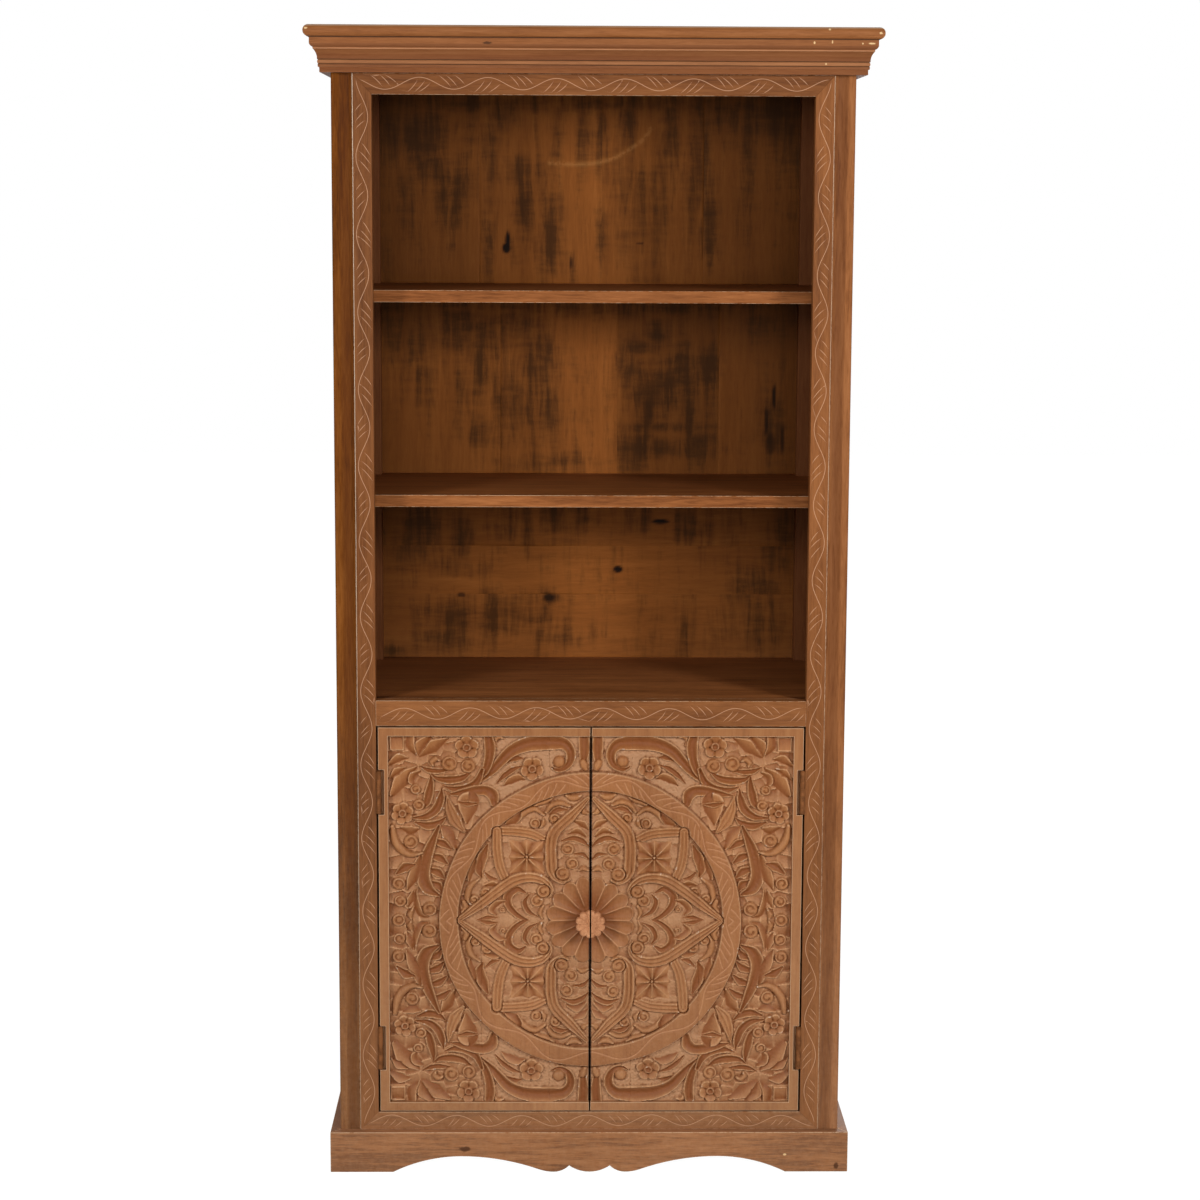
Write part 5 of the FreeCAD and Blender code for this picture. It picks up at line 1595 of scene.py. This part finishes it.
# Each stained patch, band of painted shadow or knot: place across and upward, half sizes, strength
STAINS_AND_SHADOWS = {
    "back_panel_top": (
        (-329, 1645, 26, 40, 0.6), (-276, 1640, 44, 40, 0.8), (-261, 1600, 34, 30, 0.6),
        (-230, 1554, 28, 64, 0.6), (-307, 1539, 13, 64, 0.65), (-169, 1615, 14, 60, 0.5),
        (-146, 1688, 26, 28, 0.8), (-115, 1585, 28, 24, 0.75), (-107, 1532, 15, 56, 0.8),
        (-169, 1501, 10, 72, 0.55), (-69, 1470, 18, 60, 0.75), (-54, 1661, 11, 60, 0.7),
        (-12, 1640, 11, 60, 0.65), (19, 1640, 11, 62, 0.75), (61, 1668, 13, 46, 0.8),
        (20, 1479, 11, 52, 0.65), (54, 1560, 15, 100, 0.65), (85, 1530, 11, 72, 0.55),
        (116, 1541, 13, 84, 0.65), (134, 1655, 15, 70, 0.65), (177, 1579, 17, 74, 0.65),
        (192, 1640, 11, 60, 0.6), (201, 1490, 16, 54, 0.8), (222, 1685, 34, 40, 0.6),
        (262, 1595, 17, 110, 0.5), (314, 1680, 44, 44, 0.7), (346, 1641, 15, 120, 0.6),
        # A band of painted shadow along the top of the back.
        (0, 1700, 380, 14, 0.6),
    ),
    "back_panel_middle": (
        (-293, 1301, 54, 44, 0.5), (-278, 1232, 22, 60, 0.55), (-200, 1317, 54, 44, 0.75),
        (-146, 1333, 64, 22, 0.6), (-185, 1271, 17, 60, 0.65), (-208, 1224, 22, 44, 0.5),
        (-84, 1263, 32, 60, 0.75), (-122, 1193, 44, 54, 0.5), (-68, 1194, 22, 60, 0.6),
        (-193, 1146, 44, 28, 0.6), (-68, 1100, 84, 16, 0.5), (114, 1318, 18, 22, 0.9),
        (87, 1295, 34, 12, 0.85), (64, 1256, 19, 34, 0.8), (126, 1225, 54, 44, 0.85),
        (157, 1241, 22, 54, 0.75), (196, 1264, 22, 30, 0.85), (135, 1124, 84, 18, 0.8),
        (182, 1132, 34, 18, 0.7), (65, 1124, 18, 34, 0.7), (100, 1180, 11, 60, 0.8),
        (170, 1180, 9, 60, 0.7), (130, 1160, 74, 9, 0.7), (130, 1270, 74, 9, 0.6),
        # The last spot is a band of painted shadow along the top of the back.
        (300, 1160, 26, 50, 0.55), (288, 1334, 44, 22, 0.5), (0, 1366, 380, 16, 0.6),
    ),
    "back_panel_lower": (
        (-287, 989, 34, 44, 0.7), (-318, 950, 26, 44, 0.6), (-216, 966, 15, 44, 0.75),
        (-146, 998, 22, 34, 0.7), (-107, 990, 11, 44, 0.75), (-68, 1014, 18, 26, 0.7),
        (-5, 1014, 18, 26, 0.7), (89, 1002, 18, 26, 0.75), (167, 991, 34, 28, 0.6),
        (-67, 867, 13, 11, 0.9), (-75, 845, 6, 22, 0.75), (-225, 831, 64, 34, 0.65),
        (-248, 799, 54, 22, 0.65), (-146, 839, 64, 38, 0.65), (-83, 823, 11, 54, 0.6),
        (-28, 800, 44, 22, 0.5), (-335, 775, 18, 12, 0.8), (185, 808, 64, 44, 0.4),
        (303, 816, 34, 54, 0.6), (325, 959, 26, 64, 0.6), (286, 888, 44, 34, 0.5),
        # The last spot is a band of painted shadow along the top of the back.
        (-224, 922, 44, 16, 0.5), (0, 1046, 380, 16, 0.6),
    ),
    "back_panel_cupboard": (
        (-200, 600, 60, 60, 0.5), (180, 300, 60, 90, 0.5), (20, 450, 30, 120, 0.4),
    ),
}
KNOTS = {
    "back_panel_top": (
        (-140, 1460, 7, 9, 1.0), (-138, 1472, 4, 16, 1.0), (-31, 1436, 1.8, 14, 0.9),
        (84, 1468, 6, 2, 0.7),
    ),
    "back_panel_middle": (
        (313, 1212, 3, 22, 0.9), (300, 1170, 3, 26, 0.8), (328, 1140, 3, 26, 0.7),
        (308, 1132, 9, 18, 0.6),
    ),
    "back_panel_lower": (
        (50, 917, 8, 6, 1.0), (122, 999, 15, 4, 1.0), (-67, 868, 9, 6, 0.8),
        (-217, 872, 7, 4, 0.7),
    ),
    "back_panel_cupboard": (
        (140, 560, 8, 11, 0.9),
    ),
}
GLAZE_EDGE = ((-69, 1601), (-30, 1599), (8, 1601), (45, 1612), (77, 1632), (92, 1645), (100, 1658))


def spots(marks, grid_x, grid_z, softness):
    """Rounded marks with soft edges; where they overlap, the stronger one shows."""
    total = np.zeros(grid_x.shape)
    for x, z, half_x, half_z, strength in marks:
        far = np.hypot((grid_x - x) / half_x, (grid_z - z) / half_z)
        total = np.maximum(total, strength * smooth(1.0 + softness, 1.0 - softness, far))
    return total


def back_boards(node, seed):
    """The back of a bay: boards laid edge to edge, stained where finish and damp have run, with painted
    shade towards the sides and painted shadow along the top.
    """
    low, high = (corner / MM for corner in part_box(node))
    upright, joints, tones = BACK_BOARDS[node]
    ends = (low.x, high.x) if upright else (low.z, high.z)
    limits = (ends[0], *joints, ends[1])
    glaze_line = smooth_line(GLAZE_EDGE)[0]
    rng = np.random.default_rng(seed)
    for number, span in enumerate(zip(limits, limits[1:])):
        across = edged_places(*(span if upright else (low.x, high.x)))
        upward = edged_places(*((low.z, high.z) if upright else span))
        grid_x, grid_z = np.meshgrid(across, upward)
        bow = np.sin(grid_x / BACK_BOW_LENGTHS[0] + grid_z / BACK_BOW_LENGTHS[1] + seed)
        fronts = BACK_FACE + BACK_BOW + BACK_BOW * bow
        for rim in (np.s_[0, :], np.s_[-1, :], np.s_[:, 0], np.s_[:, -1]):
            fronts[rim] = BACK_FACE + BACK_EDGE_DROP
        from_glaze = near_line(grid_x, grid_z, glaze_line)[0]
        values = {
            "stain": spots(STAINS_AND_SHADOWS[node], grid_x, grid_z, STAIN_AND_SHADOW_SOFTNESS),
            "knot": spots(KNOTS[node], grid_x, grid_z, KNOT_SOFTNESS),
            "glaze": np.exp(-((from_glaze / GLAZE_WIDTH) ** 2)),
        }
        name = f"{node}_board_{number + 1}"
        piece = relief_board(name, across, upward, fronts, BACK_REAR, values)
        finish, nodes = ("back_z" if upright else "back_x"), ([node] if number == 0 else [])
        dress(piece, "carcass", finish, nodes, rng.uniform(0, BACK_SHIFT_LIMIT))
        # Painted light and shade: each back is lighter in the middle, darker towards its sides and
        # darker at its top, under what lies above.
        places = points_of(piece.data) / MM
        side_shade = BACK_SIDE_SHADE * (np.abs(places[:, 0]) / high.x) ** BACK_SIDE_SHADE_CURVE
        upper = smooth(*BACK_TOP_SHADOW_SHARES, (places[:, 2] - low.z) / (high.z - low.z))
        tone = tones[number] + (BACK_MIDDLE_LIGHT - side_shade) - BACK_TOP_SHADOW * upper
        set_point_values(piece.data, "tone", tone)


def edged_places(low, high):
    """Even places with one more close to either end, for the rounded edges."""
    count = max(2, int((high - low) / BACK_GRID))
    middle = np.linspace(low + BACK_GRID_EDGE, high - BACK_GRID_EDGE, count)
    return np.concatenate([[low], middle, [high]])


# Knob halves and hinge screws, which follow rules


def new_tree(name, sizes):
    """An empty tree of geometry nodes with named sizes, in millimetres or as counts."""
    tree = bpy.data.node_groups.new(name, "GeometryNodeTree")
    tree.interface.new_socket("Geometry", in_out="INPUT", socket_type="NodeSocketGeometry")
    for key, value in sizes.items():
        kind = {int: "NodeSocketInt", float: "NodeSocketFloat"}.get(type(value), "NodeSocketMaterial")
        tree.interface.new_socket(key, in_out="INPUT", socket_type=kind)
    tree.interface.new_socket("Geometry", in_out="OUTPUT", socket_type="NodeSocketGeometry")
    graph = Graph(tree)
    return graph, graph.node("NodeGroupInput", output="Geometry")


def grow(name, mesh, graph, sizes):
    """Run a tree on a mesh and keep the result as a plain mesh."""
    piece = show(name, mesh)
    modifier = piece.modifiers.new("grow", "NODES")
    modifier.node_group = graph.tree
    for socket in graph.tree.interface.items_tree:
        if socket.in_out == "INPUT" and socket.name in sizes:
            modifier[socket.identifier] = sizes[socket.name]
    settle(piece)
    return piece


KNOB_SIZES = {
    "Radius": 22.6,
    "Neck radius": 12.6,
    "Foot radius": 14.6,
    "Length": 25.6,
    "Flute depth": 0.16,
    "Lobes": 10,
    "Cut depth": 1.3,
    "Around": 96,
    "Lengthwise": 48,
}
# Where the knob's outline changes, as shares of the way from its foot to the middle of its face
HEAD_SHARES = (0.16, 0.62)
FOOT_SHARES = (0.0, 0.22)
DOME_SHARES = (0.72, 1.0)
RISE_SHARES = (0.0, 0.82)
CUT_SHARES = (0.74, 0.84)
DIMPLE_SHARES = (0.9, 1.0)
STRAIGHT_SHARE = 0.86
FLUTE_CURVE = 1.6
CUT_CURVE = 5.0
DIMPLE_DEPTH = 1.4
KNOB_SHARPNESS = 50.0
KNOB_SHIFT = 0.6
KNOB_SHIFT_STEP = 0.2


def knob_tree():
    """Half of a fluted knob: a turned outline whose radius is drawn in between the lobes."""
    g, size = new_tree("fluted_half_knob", {**KNOB_SIZES, "Finish": None})
    counts = {"Vertices X": size.other("Around"), "Vertices Y": size.other("Lengthwise")}
    sheet = g.node("GeometryNodeMeshGrid", None, {"Size X": 1.0, "Size Y": 1.0, **counts}, "Mesh")
    place = g.node("GeometryNodeInputPosition")
    parts = g.node("ShaderNodeSeparateXYZ", None, {0: place}, "X")
    angle = parts * math.pi
    share = parts.other("Y") + 0.5
    head = g.band(share, *HEAD_SHARES)
    foot = 1.0 - g.band(share, *FOOT_SHARES)
    neck = size.other("Neck radius")
    stem = neck + (size.other("Foot radius") - neck) * foot
    full = stem + (size.other("Radius") - stem) * head
    over = g.band(share, *DOME_SHARES, "LINEAR")
    dome = g.function("SQRT", (1.0 - over * over).greater(0.0))
    beat = g.function("ABSOLUTE", g.function("SINE", angle * size.other("Lobes") * 0.5))
    flute = size.other("Flute depth") * (1.0 - beat) ** FLUTE_CURVE * head
    radius = full * dome * (1.0 - flute)
    rise = g.band(share, *RISE_SHARES, "LINEAR") * STRAIGHT_SHARE
    rounded = (1.0 - STRAIGHT_SHARE) * (1.0 - (1.0 - over) ** 2)
    cut = size.other("Cut depth") * (1.0 - beat) ** CUT_CURVE * g.band(share, *CUT_SHARES)
    dimple = g.band(share, *DIMPLE_SHARES) * DIMPLE_DEPTH + cut
    out = size.other("Length") * (rise + rounded) - dimple
    side, up = g.function("COSINE", angle) * radius, g.function("SINE", angle) * radius
    target = g.combine(side, 0.0 - out, up)
    shaped = g.node("GeometryNodeSetPosition", None, {"Geometry": sheet, "Position": target})
    g.end_shape(shaped, size.other("Finish"))
    return g


def knob_half(side, tree):
    name = f"knob_{HANDS[side]}"
    sizes = {**KNOB_SIZES, "Finish": finishes["knob"]}
    piece = grow(f"{name}_fluted", bpy.data.meshes.new(name), tree, sizes)
    bm = bmesh.new()
    bm.from_mesh(piece.data)
    for vert in bm.verts:
        x, y, z = vert.co
        vert.co = Vector((side * (DOOR_INNER + x), ROSETTE_FRONT + y, DOOR_MIDDLE + z)) * MM
    bmesh.ops.remove_doubles(bm, verts=bm.verts, dist=WELD)
    open_edges = [e for e in bm.edges if len(e.link_faces) == 1]
    bmesh.ops.holes_fill(bm, edges=open_edges, sides=0)
    bmesh.ops.recalc_face_normals(bm, faces=bm.faces)
    piece.data = to_mesh(bm, name, KNOB_SHARPNESS)
    board = KNOB_SHIFT + side * KNOB_SHIFT_STEP
    dress(piece, DOOR_BODIES[side], "knob", [name], board)


SCREW_SIZES = {
    "Head radius": 3.0,
    "Shank radius": 1.5,
    "Head height": 1.5,
    "Shank length": 16.0,
    "Slot width": 0.8,
    "Slot depth": 0.7,
    "Seed": 4,
}
HEAD_SIDES = 28
SHANK_SIDES = 16
SLOT_REACH = 2.2
SCREW_SHARPNESS = math.radians(30.0)
SCREW_SPACING = 24.0
SCREW_SETBACK = 14.0
FRAME_SCREW_X = 336.0
DOOR_SCREW_X = 331.0


def screw_tree():
    """Countersunk screws with a slot, each turned as the driver left it."""
    g, size = new_tree("slotted_screws", {**SCREW_SIZES, "Finish": None})
    head_radius, head_height = size.other("Head radius"), size.other("Head height")
    shank_radius, shank_length = size.other("Shank radius"), size.other("Shank length")

    def lifted(shape, height):
        lift = {"Geometry": shape, "Translation": g.combine(z=height)}
        return g.node("GeometryNodeTransform", None, lift)

    cone = {"Vertices": HEAD_SIDES, "Radius Top": head_radius, "Radius Bottom": shank_radius}
    head = g.node("GeometryNodeMeshCone", None, {**cone, "Depth": head_height}, "Mesh")
    slot_depth = size.other("Slot depth") * 2.0
    slot_size = g.combine(head_radius * SLOT_REACH, size.other("Slot width"), slot_depth)
    slot = lifted(g.node("GeometryNodeMeshCube", None, {"Size": slot_size}, "Mesh"), head_height)
    pair = {"Mesh 1": head, "Mesh 2": slot}
    cut = g.node("GeometryNodeMeshBoolean", {"operation": "DIFFERENCE"}, pair, "Mesh")
    rod = {"Vertices": SHANK_SIDES, "Radius": shank_radius, "Depth": shank_length}
    shank = lifted(g.node("GeometryNodeMeshCylinder", None, rod, "Mesh"), shank_length * -0.5)
    joined = g.node("GeometryNodeJoinGeometry")
    for part in (cut, shank):
        g.tree.links.new(part.socket, joined.socket.node.inputs[0])
    kind = {"data_type": "FLOAT_VECTOR"}
    facing = g.node("GeometryNodeInputNamedAttribute", kind, {"Name": "facing"}, "Attribute")
    turn = g.node("FunctionNodeAlignRotationToVector", {"axis": "Z"}, {"Vector": facing}, "Rotation")
    seed = {"Seed": size.other("Seed")}
    spin = g.node("FunctionNodeRandomValue", {"data_type": "FLOAT"}, seed, "Value")
    spread = {"Points": size.other("Geometry"), "Instance": joined, "Rotation": turn}
    placed = g.node("GeometryNodeInstanceOnPoints", None, spread, "Instances")
    spun = {"Instances": placed, "Rotation": g.combine(z=spin * math.pi)}
    turned = g.node("GeometryNodeRotateInstances", None, spun, "Instances")
    g.end_shape(turned, size.other("Finish"))
    return g


def hinge_screws(node, body, places, tree):
    """The screws of some hinge leaves; each place is a point and the way its head faces."""
    mesh = bpy.data.meshes.new(node)
    mesh.from_pydata([place for place, _ in places], [], [])
    facing = mesh.attributes.new("facing", "FLOAT_VECTOR", "POINT")
    ways = np.array([way for _, way in places], dtype=np.float32)
    facing.data.foreach_set("vector", ways.ravel())
    piece = grow(f"{node}_slotted", mesh, tree, {**SCREW_SIZES, "Finish": finishes["screw"]})
    piece.data.transform(Matrix.Scale(MM, 4))
    piece.data.shade_smooth()
    piece.data.set_sharp_from_angle(angle=SCREW_SHARPNESS)
    dress(piece, body, "screw", [node])


def screw_points(x, facing):
    """Screws of the upper and lower leaf on one side, with their heads flush in the leaf."""
    points = []
    for drop in (HINGE_DROP, -HINGE_DROP):
        for step in (-1, 0, 1):
            height = DOOR_MIDDLE + drop + step * SCREW_SPACING
            points.append(((x, HINGE_Y + SCREW_SETBACK, height), (facing, 0.0, 0.0)))
    return points


def make_screws():
    tree = screw_tree()
    depth = SCREW_SIZES["Head height"]
    in_frame = FRAME_SCREW_X + depth
    in_door = DOOR_SCREW_X - depth
    frame_places = screw_points(in_frame, -1.0) + screw_points(-in_frame, 1.0)
    hinge_screws("hinge_screws_frame", "carcass", frame_places, tree)
    for side, hand in HANDS.items():
        places = screw_points(side * in_door, float(side))
        hinge_screws(f"hinge_screws_door_{hand}", DOOR_BODIES[side], places, tree)


# Assembly

# Each piece's finish and the rounding of its edges, in millimetres
CASE_PIECES = {
    "post_front": ("case_z", 1.0),
    "post_back": ("case_z", 0.8),
    "side_rail_top": ("case_y", 0.8),
    "side_rail_bottom": ("case_y", 0.8),
    "side_board": ("case_z", 0.6),
    "crown": ("cornice_end", 0.4),
    "plinth": ("case_y", 1.0),
}
FRONT_PIECES = {
    "crown_front": ("cornice", 0.4),
    "cornice_cap": ("cornice", 0.6),
    "plinth_front": ("plinth", 1.0),
}
# The left front post is darker: painted shade of the left side.
OWN_FINISHES = {"post_front_left": "shaded_left_post"}
INNER_PIECES = (
    "top_panel", "shelf_upper", "shelf_middle", "deck_board", "cupboard_shelf", "floor_board",
    "head_rail", "back_rail_top", "back_rail_bottom", "door_stop",
)
INNER_TONES = {"deck_board": -0.35}
INNER_EDGE = 0.8
LEAF_EDGE = 0.2
PIN_EDGE = 0.3
SHIFT_STEP = 0.67
DOOR_HANDS = {1: 0.0, -1: 2.6}
FIRST_VINE_SEED = 1
FIRST_BACK_SEED = 3
POST_FRONT = -188.0
FLUTE_DEPTH = 3.5
FLUTE_SPAN = (368.0, 389.0)
BAY_WALL = 374.0
BACK_POST_FRONT = 190.0
POST_INNER = 350.05
BOARD_PLAY = 1.2
SHADE_MARGIN = 1.0
POST_SHADE_MARGIN = 0.5
POST_SHADE_DEPTH = 15.0
FLUTE_SHADE = 0.6
POST_SHADE = 0.8
BAY_SHADE = 0.9


def paint_post_and_bay_shade(piece, stem):
    """Darken the flutes of the front posts with their depth, as gathered finish and painted shade, and
    what faces into the bays, as painted shade.
    """
    places = points_of(piece.data) / MM
    x, y = np.abs(places[:, 0]), places[:, 1]
    shade = np.zeros(len(x))
    if stem == "post_front":
        flute = (x > FLUTE_SPAN[0]) & (x < FLUTE_SPAN[1]) & (y < POST_FRONT + 2 * FLUTE_DEPTH)
        depth = np.clip((y - POST_FRONT) / FLUTE_DEPTH, 0, 1)
        shade = np.where(flute, depth * FLUTE_SHADE, 0.0)
        inside = (x < POST_INNER + POST_SHADE_MARGIN) & (y > FRAME_FACE + POST_SHADE_DEPTH)
        shade = np.where(inside, POST_SHADE, shade)
    if stem == "post_back":
        facing = (y < BACK_POST_FRONT + SHADE_MARGIN) | (x < POST_INNER + SHADE_MARGIN)
        shade = np.where(facing, BAY_SHADE, 0.0)
        piece.data.attributes.remove(piece.data.attributes["wear"])
    if stem == "side_board":
        shade = np.where(x < BAY_WALL, BAY_SHADE, 0.0)
    set_point_values(piece.data, "recess", shade)


def close_up(piece):
    """The boards meet the posts without a gap to see through."""
    places = points_of(piece.data) / MM
    reach = np.abs(places[:, 0])
    near = (reach > POST_INNER - BOARD_PLAY) & (reach < POST_INNER)
    places[:, 0] = np.where(near, np.sign(places[:, 0]) * POST_INNER, places[:, 0])
    piece.data.vertices.foreach_set("co", (places * MM).ravel())


def make_case():
    seed = 0.0
    for stem, (finish, edge) in CASE_PIECES.items():
        for hand in HANDS.values():
            seed += SHIFT_STEP
            node = f"{stem}_{hand}"
            own_finish = OWN_FINISHES.get(node, finish)
            paint_post_and_bay_shade(plain_piece(node, "carcass", own_finish, edge, seed), stem)
    for node, (finish, edge) in FRONT_PIECES.items():
        seed += SHIFT_STEP
        plain_piece(node, "carcass", finish, edge, seed)
    for node in INNER_PIECES:
        seed += SHIFT_STEP
        tone = INNER_TONES.get(node, 0.0)
        close_up(plain_piece(node, "carcass", "inner_x", INNER_EDGE, seed, tone))
    for number, node in enumerate(VINE_STRIPS):
        vine_strip(node, FIRST_VINE_SEED + number)
    for number, node in enumerate(BACK_BOARDS):
        back_boards(node, FIRST_BACK_SEED + number)


def make_doors():
    for side, hand in DOOR_HANDS.items():
        door_slab(side)
        carved_boards(side, hand)
    tree = knob_tree()
    for side, hand in HANDS.items():
        body = DOOR_BODIES[side]
        knob_half(side, tree)
        plain_piece(f"strike_plate_{hand}", body, "steel", LEAF_EDGE)
        for hinge in (f"hinge_upper_{hand}", f"hinge_lower_{hand}"):
            plain_piece(f"{hinge}_door_leaf", body, "hinge", LEAF_EDGE)
            plain_piece(f"{hinge}_frame_leaf", "carcass", "hinge", LEAF_EDGE)
            plain_piece(f"{hinge}_pin", "carcass", "hinge", PIN_EDGE)
    make_screws()
    plain_piece("catch_magnets", "carcass", "steel", PIN_EDGE)


finishes = make_materials()
make_camera()
make_studio()
make_case()
make_doors()
